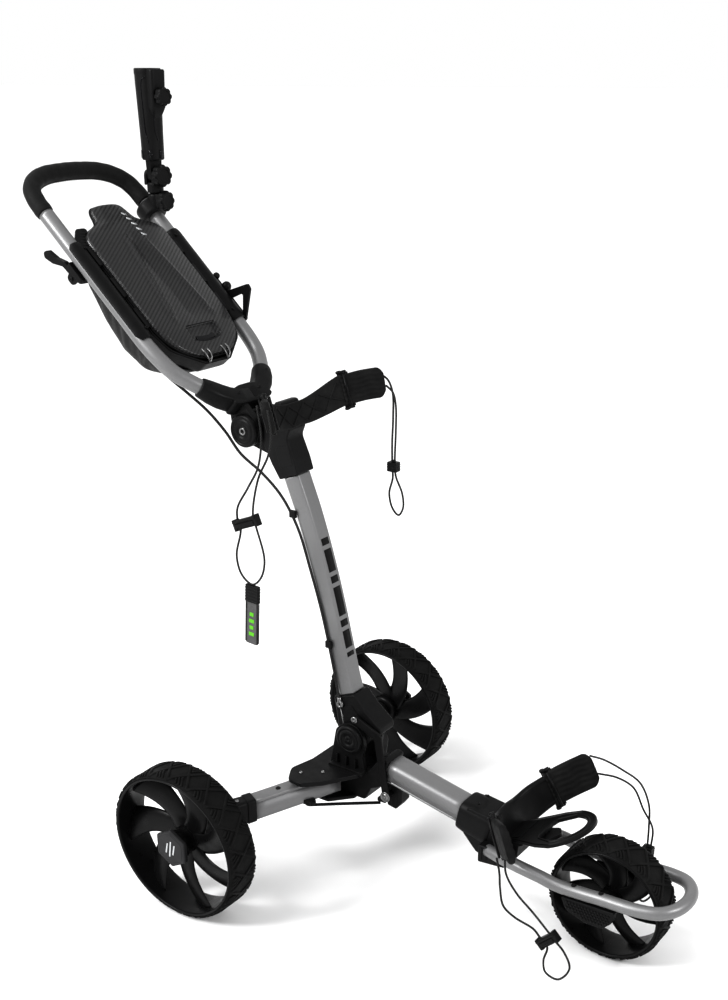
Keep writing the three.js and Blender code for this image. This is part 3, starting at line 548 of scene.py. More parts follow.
silver = satin_metal("silver_paint", 0.15, 0.205, 0.38, 0.5)
steel = brushed_steel()
plastic = moulded_plastic("black_plastic", 0.0025, 0.006, 0.40)
rim_plastic = moulded_plastic("rim_plastic", 0.0025, 0.006, 0.32, 0.00006)
base_plastic = moulded_plastic("base_plastic", 0.0025, 0.007, 0.44, 0.0002, True)
cap_plastic = moulded_plastic("cap_plastic", 0.018, 0.03, 0.42)
tread = tyre_rubber("tyre_rubber", 0.003, 0.008)
rubber = tyre_rubber("cradle_rubber", 0.005, 0.013)
leather = wrapped_leather()
carbon = carbon_weave()
cloth = woven_cloth("pouch_cloth", 0.002, 0.006, 0.0011)
webbing = woven_cloth("tab_webbing", 0.05, 0.09, 0.0014)
cord_cover = braided_cord()


def plain(name, color, roughness, metallic=0.0):
    """A small part's finish, with a little mottling."""
    n = Nodes(name)
    shade = n.noise(140, 3, 0.6)
    dim = tuple(c * 0.8 for c in color)
    mottled = n.mix(shade, (*dim, 1), (*color, 1))
    rough = n.ramp(shade, 0.3, 0.7, roughness, roughness + 0.1)
    return n.finish(mottled, rough, n.bump(shade, 0.00005, 0.4), metallic, Specular_IOR_Level=0.16)


gloss = plain("gloss_black", (0.006, 0.006, 0.007), 0.12)
decal_black = plain("decal_black", (0.003, 0.003, 0.003), 0.5)
decal_silver = plain("decal_silver", (0.55, 0.56, 0.57), 0.3, 0.8)
decal_green = plain("decal_green", (0.12, 0.42, 0.03), 0.45)

# ---------- cords: the same routes as the CAD solids ----------
BRAID_PITCH = 4.0


def along_uv(obj, path, sides):
    """UVs for a tube: its length in braid pitches, and the angle in thirds of a turn."""
    steps = np.linalg.norm(np.diff(path, axis=0), axis=1)
    run = np.concatenate([[0], np.cumsum(steps)]) / BRAID_PITCH
    layer = obj.data.uv_layers.new(name="along")
    for polygon in obj.data.polygons:
        places = [divmod(obj.data.loops[i].vertex_index, sides) for i in polygon.loop_indices]
        crosses = max(s for _, s in places) - min(s for _, s in places) > sides / 2
        for i, (ring, s) in zip(polygon.loop_indices, places):
            turn = (s + (sides if crosses and s < sides / 2 else 0)) / sides
            layer.data[i].uv = (run[ring], 3 * turn)


def free_cord(name, points, body, steps):
    """One loose cord, along the route it has here."""
    path = smooth_path(points, steps)
    sides = 10
    obj = make_object(name + "_cord", tube(path, CORD_RADIUS, sides), cord_cover)
    along_uv(obj, path, sides)
    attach(obj, body)
    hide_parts(name)
    route = metres(path)


UPPER_RIGHT_CORD = [
    (66, -143, 792), (72, -143.5, 750), (64, -143, 704), (42, -142, 668), (18, -140, 632),
    (15.5, -138, 612), (20.5, -138, 599), (10, -138, 555), (18, -138, 527), (38, -138, 515),
    (56, -138, 530), (64, -138, 560), (51.5, -138, 606), (45.5, -138, 624), (56, -136, 680),
    (80, -139, 722), (88, -141, 752), (84, -142, 788),
]
UPPER_LEFT_CORD = [
    (79, 140.5, 786), (90, 144, 778), (99, 144, 760), (101, 143, 720), (100, 142, 680),
    (101, 141, 642), (102, 141, 622), (96, 140, 596), (102, 140, 572), (114, 140, 562),
    (123, 140, 576), (121, 140, 600), (108, 141, 626), (106, 141, 650), (107, 142, 700),
    (106, 143, 740), (101, 142, 760), (90, 139, 770),
]
LOWER_RIGHT_CORD = [
    (474, -134, 190), (480, -135, 168), (482, -134, 140), (488, -132, 110), (506, -130, 97),
    (536, -127, 87), (547, -126, 76), (559, -125, 64), (554, -124, 36), (558, -123, 16),
    (578, -123, 12), (596, -123, 40), (586, -124, 65), (573, -125, 78), (561, -126, 90),
    (534, -128, 116), (508, -131, 140), (491, -134, 168), (488, -135, 192),
]
LOWER_LEFT_CORD = [
    (486, 131, 240), (510, 132, 240), (544, 132, 232), (574, 131, 220), (592, 130, 188),
    (596, 129, 150), (597, 128, 118), (596.5, 127, 94), (586, 126, 60), (586, 126, 28),
    (598, 126, 12), (612, 126, 28), (612, 126, 62), (601, 127, 96), (603, 128, 118),
    (602, 129, 150), (584, 130, 176), (564, 131, 208), (536, 132, 216), (502, 133, 212),
]


def box_form(low, high):
    (x0, y0, z0), (x1, y1, z1) = low, high
    return slab([(x0, z0), (x1, z0), (x1, z1), (x0, z1)], y0, y1)


def about_y(form, degrees, place):
    """Turned about Y, then moved to place."""
    c, s = math.cos(math.radians(degrees)), math.sin(math.radians(degrees))
    turn = np.array([(c, 0, -s), (0, 1, 0), (s, 0, c)])
    return moved(form, lambda v: v @ turn + np.asarray(place, float))


def wide_lock(name, place, tilt, half_width, body):
    """The lock that spreads the two strands: a flat buckle with a raised bar and end lugs."""
    plate = box_form((-half_width, -4.6, -7.5), (half_width, 4.6, 7.5))
    front = box_form((-half_width + 3, -6.4, -4.5), (half_width - 3, -4.2, 1.5))
    bar_top = tube([(-half_width - 2, -5, 5), (half_width + 2, -5, 5)], 2.4, 12)
    lugs = [box_form((x - 3, -5.6, -8.8), (x + 3, 5.6, 8.8)) for x in (-half_width, half_width)]
    form = about_y(joined(plate, front, bar_top, *lugs), tilt, place)
    return piece(name + "_buckle", form, plastic, body, "black_plastic", [name], bevel=0.9)


def small_lock(name, place, body):
    """The lock on strands that run side by side: a square block, a plunger and its spring seat."""
    x, y, z = place
    block = box_form((x - 8.5, y - 6.5, z - 8.5), (x + 8.5, y + 6.5, z + 7))
    ribs = [box_form((x - 9, y - 7, z - 6 + 4 * k), (x + 9, y + 7, z - 4.6 + 4 * k)) for k in range(3)]
    plunger = turned([(AXIS, 0), (4, 0), (4, 2.2), (3, 3), (AXIS, 3)], (x, y, z + 7), UP, 20)
    return piece(name + "_block", joined(block, *ribs, plunger), plastic, body, "black_plastic",
                 [name], bevel=0.6)


def pull_tab():
    """The pull tab: a ribbed sleeve on the cord, and a webbing tongue with edges and bars."""
    place, tilt = (38, -138, 500), 4

    def tab_piece(name, form, material, slot, replaces=(), **looks):
        piece(name, about_y(form, tilt, place), material, "upright", slot, replaces, **looks)

    sleeve = joined(
        box_form((-12, -3.4, -14), (12, 3.4, 14)),
        *[box_form((-12.5, -3.9, -12 + 5 * k), (12.5, 3.9, -10 + 5 * k)) for k in range(5)])
    tab_piece("pull_tab_sleeve", sleeve, plastic, "black_plastic", ["pull_tab"], bevel=0.7)
    outline = rounded([(-12, -84), (12, -84), (12, -12), (-12, -12)], [4, 4, 1, 1])
    tab_piece("pull_tab_tongue", slab(outline, -1.7, 1.7), webbing, "fabric", bevel=0.6)
    border = [box_form((x - 1.4, -2.1, -81), (x + 1.4, 2.1, -15)) for x in (-10.6, 10.6)]
    tab_piece("pull_tab_edges", joined(*border), cloth, "fabric")
    marks = [box_form((-5 + 1.2 * (k % 2), -2.2, -70 + 11 * k), (5 - 1.2 * (k % 2), -1.5, -64 + 11 * k))
             for k in range(4)]
    tab_piece("pull_tab_bars", joined(*marks), decal_green, "fabric", bevel=0.2)


lock_upper_right = wide_lock("cord_lock_upper_right", (33, -138, 612), -22, 21, "upright")
lock_lower_right = wide_lock("cord_lock_lower_right", (560, -125.5, 77), -45, 16, "chassis")
lock_upper_left = small_lock("cord_lock_upper_left", (103.6, 141, 642), "upright")
lock_lower_left = small_lock("cord_lock_lower_left", (599, 127.5, 108), "chassis")
pull_tab()
free_cord("bungee_upper_right", UPPER_RIGHT_CORD, "upright", 150)
free_cord("bungee_upper_left", UPPER_LEFT_CORD, "upright", 150)
free_cord("bungee_lower_right", LOWER_RIGHT_CORD, "chassis", 150)
free_cord("bungee_lower_left", LOWER_LEFT_CORD, "chassis", 170)

# ---------- wheels ----------
RIGHT_CENTRE = (0, -HALF_TRACK, REAR_WHEEL["radius"])
FRONT_CENTRE = (WHEELBASE, 0, FRONT_WHEEL["radius"])
WHEEL_SEGMENTS = 112
RIB_WIDTH, SHORT_RIB_WIDTH, RIB_LIFT = 3.4, 2.4, 1.8


def tread_radius(wheel, y):
    """Outer radius of the smooth tyre at a distance y from its middle: flat, with round shoulders."""
    half = wheel["width"] / 2
    shoulder = max(abs(y) - half * 0.62, 0) / (half * 0.38)
    return wheel["radius"] - 2.4 - 4 * shoulder ** 2.4


def tyre_form(wheel, centre):
    half = wheel["width"] / 2
    inner = wheel["radius"] - TYRE_THICKNESS
    heights = np.linspace(-half, half, 23)
    outer = [(tread_radius(wheel, y), y) for y in heights]
    inside = [(inner + 0.6, half), (inner, half - 1), (inner, 0), (inner, 1 - half), (inner + 0.6, -half)]
    return lathe(outer + inside, centre, "y", WHEEL_SEGMENTS)


def tread_bar(wheel, start, end, width, steps):
    """A raised bar on the tyre between two (angle, y) points."""
    half, foot, sunk = width / 2, width / 2 + 0.8, -0.6
    run = np.array([(end[0] - start[0]) * wheel["radius"], end[1] - start[1]])
    across = np.array([-run[1], run[0]]) / np.linalg.norm(run)
    rings = []
    for t in np.linspace(0, 1, steps):
        angle = start[0] + (end[0] - start[0]) * t
        y = start[1] + (end[1] - start[1]) * t
        ring = []
        for offset, lift in ((-foot, sunk), (-half, RIB_LIFT), (half, RIB_LIFT), (foot, sunk)):
            a = angle + across[0] * offset / wheel["radius"]
            h = y + across[1] * offset
            r = tread_radius(wheel, h) + lift
            ring.append((r * math.cos(a), h, r * math.sin(a)))
        rings.append(ring)
    return skin(rings)


def tread_form(wheel, centre, periods):
    """Crossing zigzag ribs, with short parallel bars in the fields between them."""
    edge = wheel["width"] / 2 - 3
    pitch = 2 * math.pi / periods
    slope = 2 * edge / (pitch / 2)
    bars = []
    for k in range(periods):
        for turn in (1, -1):
            for first, side in ((k * pitch, -turn * edge), (k * pitch + pitch / 2, turn * edge)):
                bars.append(tread_bar(wheel, (first, side), (first + pitch / 2, -side), RIB_WIDTH, 10))
                for j, reach in enumerate((0.62, 0.46, 0.3)):
                    low = first + pitch * (0.06 + 0.075 * (j + 1))
                    bars.append(tread_bar(
                        wheel, (low, side), (low + reach * edge / slope, side * (1 - reach)),
                        SHORT_RIB_WIDTH, 5))
    return placed(joined(*bars), centre)


def barrel_form(wheel, centre):
    """The rim's barrel with its rolled lips, and the hub."""
    half = wheel["width"] / 2
    outer = wheel["radius"] - TYRE_THICKNESS
    wall = outer - 4.5
    barrel = lathe([
        (outer, -half + 0.6), (outer - 1, -half - 0.2), (outer - 3, -half - 0.2),
        (outer - 4.2, -half + 0.8), (wall, -half + 3), (wall - 1, -half * 0.3), (wall - 2, half * 0.35),
        (wall - 0.6, half - 4), (outer - 4.2, half - 0.8), (outer - 2.6, half), (outer - 0.6, half),
        (outer, half - 1), (outer, 0),
    ], centre, "y", WHEEL_SEGMENTS)
    r = wheel["radius"] * 0.2
    hub = lathe([
        (6.4, -half + 4), (r * 0.9, -half + 4), (r, -half + 6), (r, -half + 14), (r * 0.86, -half + 20),
        (r * 0.82, 0), (r, half * 0.4), (r * 1.08, half * 0.7), (r * 1.04, half - 3), (r * 0.9, half - 1),
        (6.4, half - 1),
    ], centre, "y", 56)
    return joined(barrel, hub)


def spoke_form(wheel, centre, first):
    """Turbine paddles: broad and steep at the barrel, waisted, and flared into the hub."""
    outer = wheel["radius"] - TYRE_THICKNESS - 4.6
    inner = wheel["radius"] * 0.16
    size = wheel["radius"] / REAR_WHEEL["radius"]
    corner = np.linspace(0, 2 * math.pi, 28, endpoint=False)
    paddles = []
    for k in range(SPOKE_COUNT):
        base = math.radians(first + (k + 0.5) * 360 / SPOKE_COUNT)
        rings = []
        for t in np.linspace(0, 1, 26):
            r = outer + (inner - outer) * t
            waist = 37 * size
            chord = waist + (22 * size) * (1 - t) ** 2 + 10 * size * t ** 6
            pitch = math.radians(16 * (1 - t) ** 1.2 + 6)
            thickness = 6.5 * size * (1 + 0.5 * t)
            bend = 6 * size * (1 - t)
            turn = base - math.radians(34) * t ** 1.15
            middle = (-1.5 + 9 * t) * size
            ring = []
            for c in corner:
                u = 0.5 * chord * math.copysign(abs(math.cos(c)) ** 0.75, math.cos(c))
                w = 0.5 * thickness * math.sin(c) + bend * (4 * (u / chord) ** 2 - 0.5) * 0.5
                tangent = u * math.cos(pitch) + w * math.sin(pitch)
                axial = -u * math.sin(pitch) + w * math.cos(pitch) + middle
                angle = turn + tangent / max(r, 26 * size)
                ring.append((r * math.cos(angle), axial, r * math.sin(angle)))
            rings.append(ring)
        paddles.append(skin(rings))
    return placed(joined(*paddles), centre)


def cap_form(centre):
    """A hexagonal hub cap with a bevelled edge and a shallow border."""
    y = centre[1] - REAR_WHEEL["width"] / 2 + 1
    rings = []
    for radius, depth in ((29, 5), (32.4, 4), (33, 2.5), (33, -1.4), (31.6, -2.9), (28.6, -3.6),
                          (27.9, -3.2), (27.2, -3.2), (26.4, -3.9), (4, -4)):
        hexagon = [(radius * math.sin(math.radians(60 * i)), radius * math.cos(math.radians(60 * i)))
                   for i in range(6)]
        ring = rounded(hexagon, radius * 0.1, 4)
        rings.append([(centre[0] + a, y + depth, centre[2] + b) for a, b in ring])
    return skin(rings)


def cap_mark(centre):
    """Three short slanted bars."""
    y = centre[1] - REAR_WHEEL["width"] / 2 - 3.3
    bars = []
    for k, length in enumerate((9, 14, 9)):
        x, z = centre[0] + (k - 1) * 7, centre[2]
        outline = [(x - 3.4, z - length), (x - 0.6, z - length), (x + 3.4, z + length),
                   (x + 0.6, z + length)]
        bars.append(slab(outline, y, y + 0.6))
    return joined(*bars)


REAR_FIRST, FRONT_FIRST = 4, 23
on_both_sides("rear_tyre_tread", joined(tyre_form(REAR_WHEEL, RIGHT_CENTRE),
                                        tread_form(REAR_WHEEL, RIGHT_CENTRE, 10)),
              tread, "wheel_", "tyre", ["rear_tyre_"])
on_both_sides("rear_wheel_barrel", barrel_form(REAR_WHEEL, RIGHT_CENTRE), rim_plastic, "wheel_",
              "rim_plastic", ["rear_rim_"])
on_both_sides("rear_wheel_paddles", spoke_form(REAR_WHEEL, RIGHT_CENTRE, REAR_FIRST), rim_plastic,
              "wheel_", "rim_plastic")
on_both_sides("hub_cap_hexagon", cap_form(RIGHT_CENTRE), cap_plastic, "wheel_", "cap_plastic",
              ["rear_hub_cap_"], bevel=0.4)
on_both_sides("hub_cap_mark", cap_mark(RIGHT_CENTRE), decal_silver, "wheel_", "cap_plastic", bevel=0.15)
piece("front_tyre_tread", joined(tyre_form(FRONT_WHEEL, FRONT_CENTRE),
                                 tread_form(FRONT_WHEEL, FRONT_CENTRE, 8)),
      tread, "wheel_front", "tyre", ["front_tyre"])
piece("front_wheel_barrel", barrel_form(FRONT_WHEEL, FRONT_CENTRE), rim_plastic, "wheel_front",
      "rim_plastic", ["front_rim"])
piece("front_wheel_paddles", spoke_form(FRONT_WHEEL, FRONT_CENTRE, FRONT_FIRST), rim_plastic,
      "wheel_front", "rim_plastic")

# ---------- rear legs ----------
LEG_WAY = np.array([math.cos(LEG_SWEEP) * math.cos(LEG_SLOPE),
                    -math.sin(LEG_SWEEP) * math.cos(LEG_SLOPE), -math.sin(LEG_SLOPE)])
LEG_SIDE = np.array([math.sin(LEG_SWEEP), math.cos(LEG_SWEEP), 0])
LEG_END = 138


def leg_point(along, across=0.0, up=0.0):
    return np.asarray(LEG_PIVOT, float) + LEG_WAY * along + LEG_SIDE * across + np.array([0, 0, up])


def leg_ring(along, section):
    return [leg_point(along, across, up) for across, up in section]


def box_section(width, height, corner, steps=5):
    w, h = width / 2, height / 2
    return rounded([(w, -h), (w, h), (-w, h), (-w, -h)], corner, steps)


def grooved_section(width, height, corner, groove_up, depth=1.8):
    """A rounded box section with a groove along its front face."""
    w = width / 2
    outline = box_section(width, height, corner)
    out = []
    for a, b in zip(outline, np.roll(outline, -1, axis=0)):
        out.append(tuple(a))
        if abs(a[0] - w) < 0.01 and abs(b[0] - w) < 0.01:
            out += [(w, groove_up - 1.3), (w - depth, groove_up - 0.9), (w - depth, groove_up + 0.9),
                    (w, groove_up + 1.3)]
    return out


def loft_along_leg(stations):
    return skin([leg_ring(along, box_section(w, h, c)) for along, w, h, c in stations])


on_both_sides("rear_leg_tube", skin([leg_ring(a, grooved_section(27, 37, 4, 11.5))
                                     for a in np.linspace(-18, LEG_END, 8)]),
              silver, "leg_", "silver", ["rear_leg_"])
on_both_sides("rear_leg_lug", joined(
    turned([(AXIS, 0), (9, 0), (9, 6), (7.5, 8), (AXIS, 8)], (98, -88, 127), UP, 28),
    box_form((84, -98, 129), (104, -82, 137))), plastic, "leg_", "black_plastic", bevel=1)
on_both_sides("rear_leg_screw", joined(*[screw(leg_point(along, 0, 18.5), UP, 4.2) for along in (88, 20)]),
              plastic, "leg_", "black_plastic")
axle_block = joined(
    loft_along_leg([(LEG_END - 6, 31, 41, 6), (LEG_END + 9, 32, 42, 7)]),
    loft_along_leg([(LEG_END + 8, 29, 40, 8), (LEG_END + 30, 31, 43, 9), (LEG_END + 52, 33, 44, 10),
                    (LEG_END + 70, 30, 40, 12)]),
    lathe([(5.5, -205), (16, -205), (20, -209), (21, -222), (21, -244), (19, -251), (5.5, -251)],
          (0, 0, REAR_WHEEL["radius"]), "y", 40))
on_both_sides("axle_housing", axle_block, plastic, "leg_", "black_plastic", ["axle_block_"], bevel=1.2)
on_both_sides("axle_housing_screw", screw(leg_point(LEG_END + 22, 2, 21.4), UP, 3.6), steel,
              "leg_", "steel")
on_both_sides("axle_shaft", joined(
    tube([(0, -250, 125), (0, -HALF_TRACK - 26, 125)], 5.6, 20, UP),
    turned([(AXIS, 0), (11, 0), (11, 3), (AXIS, 3)], (0, -250, 125), (0, -1, 0), 24)),
    steel, "leg_", "steel")
on_both_sides("leg_rod_wire", tube(smooth_path([(98, -88, 125), (143, -52, 125), (188, -17, 125)], 8),
                                   2.6, 12), plastic, "rod_", "black_plastic", ["leg_rod_"])

# ---------- hinge base ----------
WING = [(66, -40), (56, -84), (74, -114), (102, -117), (128, -92), (160, -40),
        (160, 40), (128, 92), (102, 117), (74, 114), (56, 84), (66, 40)]
hinge_plates = joined(
    slab(rounded(WING, [2, 22, 12, 12, 24, 2, 2, 24, 12, 12, 22, 2]), 172.5, 180, "xy"),
    slab(rounded([(78, -30), (86, -60), (112, -60), (142, -26), (142, 26), (112, 60), (86, 60),
                  (78, 30)], 8), 121, 128, "xy"))
piece("hinge_plates", hinge_plates, base_plastic, "chassis", "black_plastic", ["hinge_base"], bevel=1.8)
core = slab(rounded([(82, 124), (160, 124), (172, 148), (192, 158), (200, 166), (207, 208), (196, 211),
                     (181, 198), (170, 182), (150, 178), (82, 178)], 5), -23.5, 23.5)
cheek_outline = rounded([(96, 178), (102, 212), (108, 244), (122, 257), (137, 261), (152, 257),
                         (162, 244), (164, 226), (160, 204), (166, 178)],
                        [1, 12, 14, 10, 10, 10, 10, 8, 8, 1])
cheeks = joined(slab(cheek_outline, -29, -21.4), slab(cheek_outline, 21.4, 29))
piece("hinge_core", core, base_plastic, "chassis", "black_plastic", bevel=3)
piece("hinge_cheeks", cheeks, base_plastic, "chassis", "black_plastic", bevel=2)
fillets = []
for side in (-1, 1):
    for x in (112, 130, 148):
        fillets.append(slab([(x - 1.5, 178), (x + 1.5, 178), (x + 1.5, 200), (x - 1.5, 200)],
                            side * 29 - (5 if side < 0 else 0), side * 29 + (5 if side > 0 else 0)))
    fillets.append(slab(rounded([(98, 178), (170, 178), (166, 184), (102, 184)], 2),
                        side * 35 - 6, side * 35 + 6))
piece("hinge_fillets", joined(*fillets), base_plastic, "chassis", "black_plastic", bevel=1.4)
piece("hinge_pins", joined(*[tube([(103, s * 48, 126), (103, s * 48, 176)], 5, 20, (1, 0, 0))
                             for s in (-1, 1)]), steel, "chassis", "steel")
piece("hinge_screws", joined(*[screw((x, s * y, 180), UP, 3.4)
                               for x, y in ((80, 88), (108, 66)) for s in (-1, 1)]),
      steel, "chassis", "steel")


def bolt_form(place, half_span, radius, depth):
    """A pivot bolt's two round heads, each with concentric rings and a socket."""
    profile = [
        (AXIS, -1), (radius - 1.5, -1), (radius, 0.5), (radius, depth - 3), (radius - 1.6, depth - 1),
        (radius * 0.82, depth), (radius * 0.79, depth - 1.2), (radius * 0.74, depth - 1.2),
        (radius * 0.71, depth - 0.2), (radius * 0.4, depth - 0.4), (radius * 0.37, depth - 1.6),
        (radius * 0.28, depth - 1.6), (radius * 0.25, depth - 0.6), (AXIS, depth - 0.6),
    ]
    ends = [(place[0], side * half_span, place[1]) for side in (-1, 1)]
    heads = [turned(profile, end, (0, side, 0), 64) for end, side in zip(ends, (-1, 1))]
    return joined(*heads, tube(ends, 6, 20))


def socket_ring(place, half_span, radius, depth, height):
    """A bright washer with a round hole in it, on each bolt head."""
    profile = [(radius * 0.55, 0), (radius, 0), (radius, height), (radius * 0.9, height + 0.5),
               (radius * 0.6, height + 0.3), (radius * 0.55, height)]
    return joined(*[turned(profile, (place[0], side * (half_span + depth), place[1]), (0, side, 0), 36)
                    for side in (-1, 1)])


piece("lower_bolt_heads", bolt_form(LOWER_PIVOT, 29.3, 24, 8), plastic, "chassis", "black_plastic",
      ["lower_pivot_bolt"])
piece("upper_bolt_heads", bolt_form(UPPER_PIVOT, 28.3, 25.5, 8), plastic, "upright", "black_plastic",
      ["upper_pivot_bolt"])
piece("upper_bolt_sockets", socket_ring(UPPER_PIVOT, 28.3, 6, 6.4, 1.4), steel, "upright", "steel")

# ---------- front frame ----------
TUBE_WAY = np.array([math.cos(FRONT_TUBE_SLOPE), 0, -math.sin(FRONT_TUBE_SLOPE)])
TUBE_UP = np.array([math.sin(FRONT_TUBE_SLOPE), 0, math.cos(FRONT_TUBE_SLOPE)])
TUBE_START = np.array([199, 0, 187])


def front_ring(along, section):
    return [TUBE_START + TUBE_WAY * along + np.array([0, 1, 0]) * a + TUBE_UP * b for a, b in section]


def slotted_section():
    """The front tube's oval, with a slot low on either side."""
    w, h = 22.5, 20
    half = [(w, -9.5), (w - 2.4, -9.6), (w - 2.4, -11.8), (w - 0.6, -12), (w - 2.5, -15.5),
            (w - 8, -19.3), (w - 12, -h)]
    top = rounded([(-w, -9.5), (-w, h), (w, h), (w, -9.5)], [0, 15, 15, 0], 8)
    low = [(-a, b) for a, b in reversed(half)]
    return [tuple(p) for p in top] + half[1:] + low[:-1]


piece("front_tube_shell", skin([front_ring(a, slotted_section()) for a in np.linspace(-3, 156, 8)]),
      silver, "chassis", "silver", ["front_tube"])
bracket = joined(
    slab(rounded([(352, 132), (352, 172), (362, 180), (408, 174), (420, 150), (424, 137), (432, 132),
                  (432, 108), (408, 98), (376, 106)], [5, 8, 8, 6, 4, 3, 3, 6, 6, 8]), -27, 27),
    slab(rounded([(390, 102), (390, 133), (436, 133), (438, 107)], 3), -44, 44))
piece("front_bracket_housing", bracket, base_plastic, "chassis", "black_plastic", ["front_bracket"],
      bevel=7)
piece("front_bracket_sleeve", skin([
    front_ring(along, box_section(w, h, c)) for along, w, h, c in (
        (144, 52, 47, 15), (146, 56, 51, 16), (158, 59, 54, 17), (196, 60, 55, 17), (204, 56, 50, 15))]),
    base_plastic, "chassis", "black_plastic", bevel=1)
piece("front_bracket_screws", joined(
    screw((372, -14, 185.2), (0.13, 0, 1), 2.6), screw((372, 14, 185.2), (0.13, 0, 1), 2.6),
    screw((412, -44, 118), (0, -1, 0), 3.4), screw((412, 44, 118), (0, 1, 0), 3.4)),
    plastic, "chassis", "black_plastic")
piece("front_bracket_ribs", joined(*[
    slab([(x, 108), (x + 2, 108), (x + 2, 130), (x, 130)], s * 44 - 1, s * 44 + 1)
    for x in (396, 404, 420, 428) for s in (-1, 1)]), base_plastic, "chassis", "black_plastic", bevel=0.6)

FORK_HALF_WIDTH = 56
fork_run = [(404, -36, 124), (440, -48.3, 127.3)]
fork_run += [(x, -FORK_HALF_WIDTH, z)
             for x, z in ((478, 129), (506, 126), (536, 122), (610, 126), (668, 130))]
fork_run += [(695, -48, 132), (711, -28, 133)]
fork_points = fork_run + [(717, 0, 134)] + [(x, -y, z) for x, y, z in reversed(fork_run)]
piece("fork_loop_tube", tube(smooth_path(fork_points, 120), 10, 28), silver, "chassis", "silver",
      ["fork_loop"])
piece("fork_rivets", joined(*[
    screw((x, s * FORK_HALF_WIDTH, z + 9.4), UP, 4)
    for x, z in ((562, 123), (606, 126)) for s in (-1, 1)]),
    plastic, "chassis", "black_plastic")
dropout = rounded([(546, 111), (554, 92), (588, 80), (616, 82), (629, 96), (632, 115)],
                  [2, 10, 14, 10, 8, 2])
dropouts = joined(
    slab(dropout, -64, -50), slab(dropout, 50, 64),
    tube([(WHEELBASE, -62, 95), (WHEELBASE, 62, 95)], 6, 20),
    *[turned([(7, 0), (14, 0), (15, 2), (15, 14), (12, 20), (7, 20)],
             (WHEELBASE, s * 51, 95), (0, -s, 0), 32) for s in (-1, 1)])
piece("axle_dropouts", dropouts, base_plastic, "chassis", "black_plastic", ["front_axle_carrier"], bevel=2)


def studs():
    """Rows of small hexagonal studs on the outer face of each dropout."""
    out = []
    for row in range(5):
        for col in range(14):
            x = 556 + col * 5.2 + (row % 2) * 2.6
            z = 106 - row * 4.6
            low = 92 - (x - 554) * 0.35 if x < 588 else 81 + max(x - 612, 0) * 0.8
            if z < low + 4 or x > 624:
                continue
            for side in (-1, 1):
                out.append(turned([(AXIS, -0.3), (2.3, -0.3), (1.8, 1.1), (AXIS, 1.3)],
                                  (x, side * 64, z), (0, side, 0), 6))
    return joined(*out)


piece("axle_dropout_studs", studs(), plastic, "chassis", "black_plastic")


# ---------- bag rest ----------
REST_TILT = math.radians(22)
REST_ARC = 76
REST_GAP = 56


def on_rest(points):
    """Millimetres on the sloping rest (out, left, up) to cart millimetres."""
    p = np.asarray(points, float)
    c, s = math.cos(REST_TILT), math.sin(REST_TILT)
    return np.stack([434 + c * p[..., 0] - s * p[..., 2], p[..., 1],
                     151 + s * p[..., 0] + c * p[..., 2]], -1)


def rest_loop():
    """A long D-shaped ring on a broad root, with a raised rim round both its edges."""
    angles = np.radians(np.linspace(-78, 78, 44))
    outer = [(2, -30), (22, -38), (42, -46), (62, -54)]
    outer += [(REST_ARC + 60 * math.cos(a), 60 * math.sin(a)) for a in angles]
    outer += [(62, 54), (42, 46), (22, 38), (2, 30)]
    inner = [(REST_GAP, -4), (REST_GAP, -12), (REST_GAP, -20), (REST_GAP + 2, -30)]
    inner += [(REST_ARC + 45 * math.cos(a), 45 * math.sin(a)) for a in angles]
    inner += [(REST_GAP + 2, 30), (REST_GAP, 20), (REST_GAP, 12), (REST_GAP, 4)]
    rings = []
    for (ox, oy), (ix, iy) in zip(outer, inner):
        cross = []
        width = math.hypot(ix - ox, iy - oy)
        a, b = 1.2 / width, 3.6 / width
        for t, h in ((0, -2.4), (a, -3.5), (1 - a, -3.5), (1, -2.4), (1, 2), (1 - a, 3.5), (1 - b, 3.5),
                     (1 - b * 1.4, 1.8), (b * 1.4, 1.8), (b, 3.5), (a, 3.5), (0, 2)):
            cross.append((ox + (ix - ox) * t, oy + (iy - oy) * t, h))
        rings.append(cross)
    return skin(rings, hoop=True)


tongue_outline = rounded([(0, -24), (66, -21), (80, 0), (66, 21), (0, 24)], [2, 14, 14, 14, 2])
root_outline = rounded([(-1, -28), (22, -30), (24, 30), (-1, 28)], 3)
sloping = joined(rest_loop(), slab(tongue_outline, -12, -7, "xy"), slab(root_outline, -12, 3.4, "xy"))
rest = joined(moved(sloping, on_rest), slab([(438.6, 118), (447, 118), (450, 147), (439, 147)], -22, 22))
piece("bag_rest_loop", rest, plastic, "chassis", "black_plastic", ["bag_rest"], bevel=1.2)

# ---------- cradles: bands on edge, with a strap pad on either tip ----------
CRADLE_UP = np.array([-0.31, 0, 0.951])
UPPER_PAD_HEIGHT, LOWER_PAD_HEIGHT = 47, 60
UPPER_ARM = [(22, 0, 744), (22, 28, 744), (27, 60, 751), (36, 80, 760), (43, 91, 765.5), (47, 96, 768)]
UPPER_PAD = [(42, 89.5, 764.6), (62, 115, 771), (79, 134, 774), (85, 141, 775)]
LOWER_ARM = [(423, 0, 163), (423, 28, 163), (428, 52, 172), (438, 71, 182), (446, 82, 189), (450, 87, 192)]
LOWER_PAD = [(445, 81, 188.7), (466, 106, 202.5), (487, 129, 214.5), (494, 136.5, 218.5)]


def both_arms(arm):
    return [(x, -y, z) for x, y, z in reversed(arm[1:])] + list(arm)


def band_axes(way):
    """The outward and the upward direction of a band where it runs along way."""
    out = unit(np.cross(way, CRADLE_UP))
    return out, np.cross(out, way)


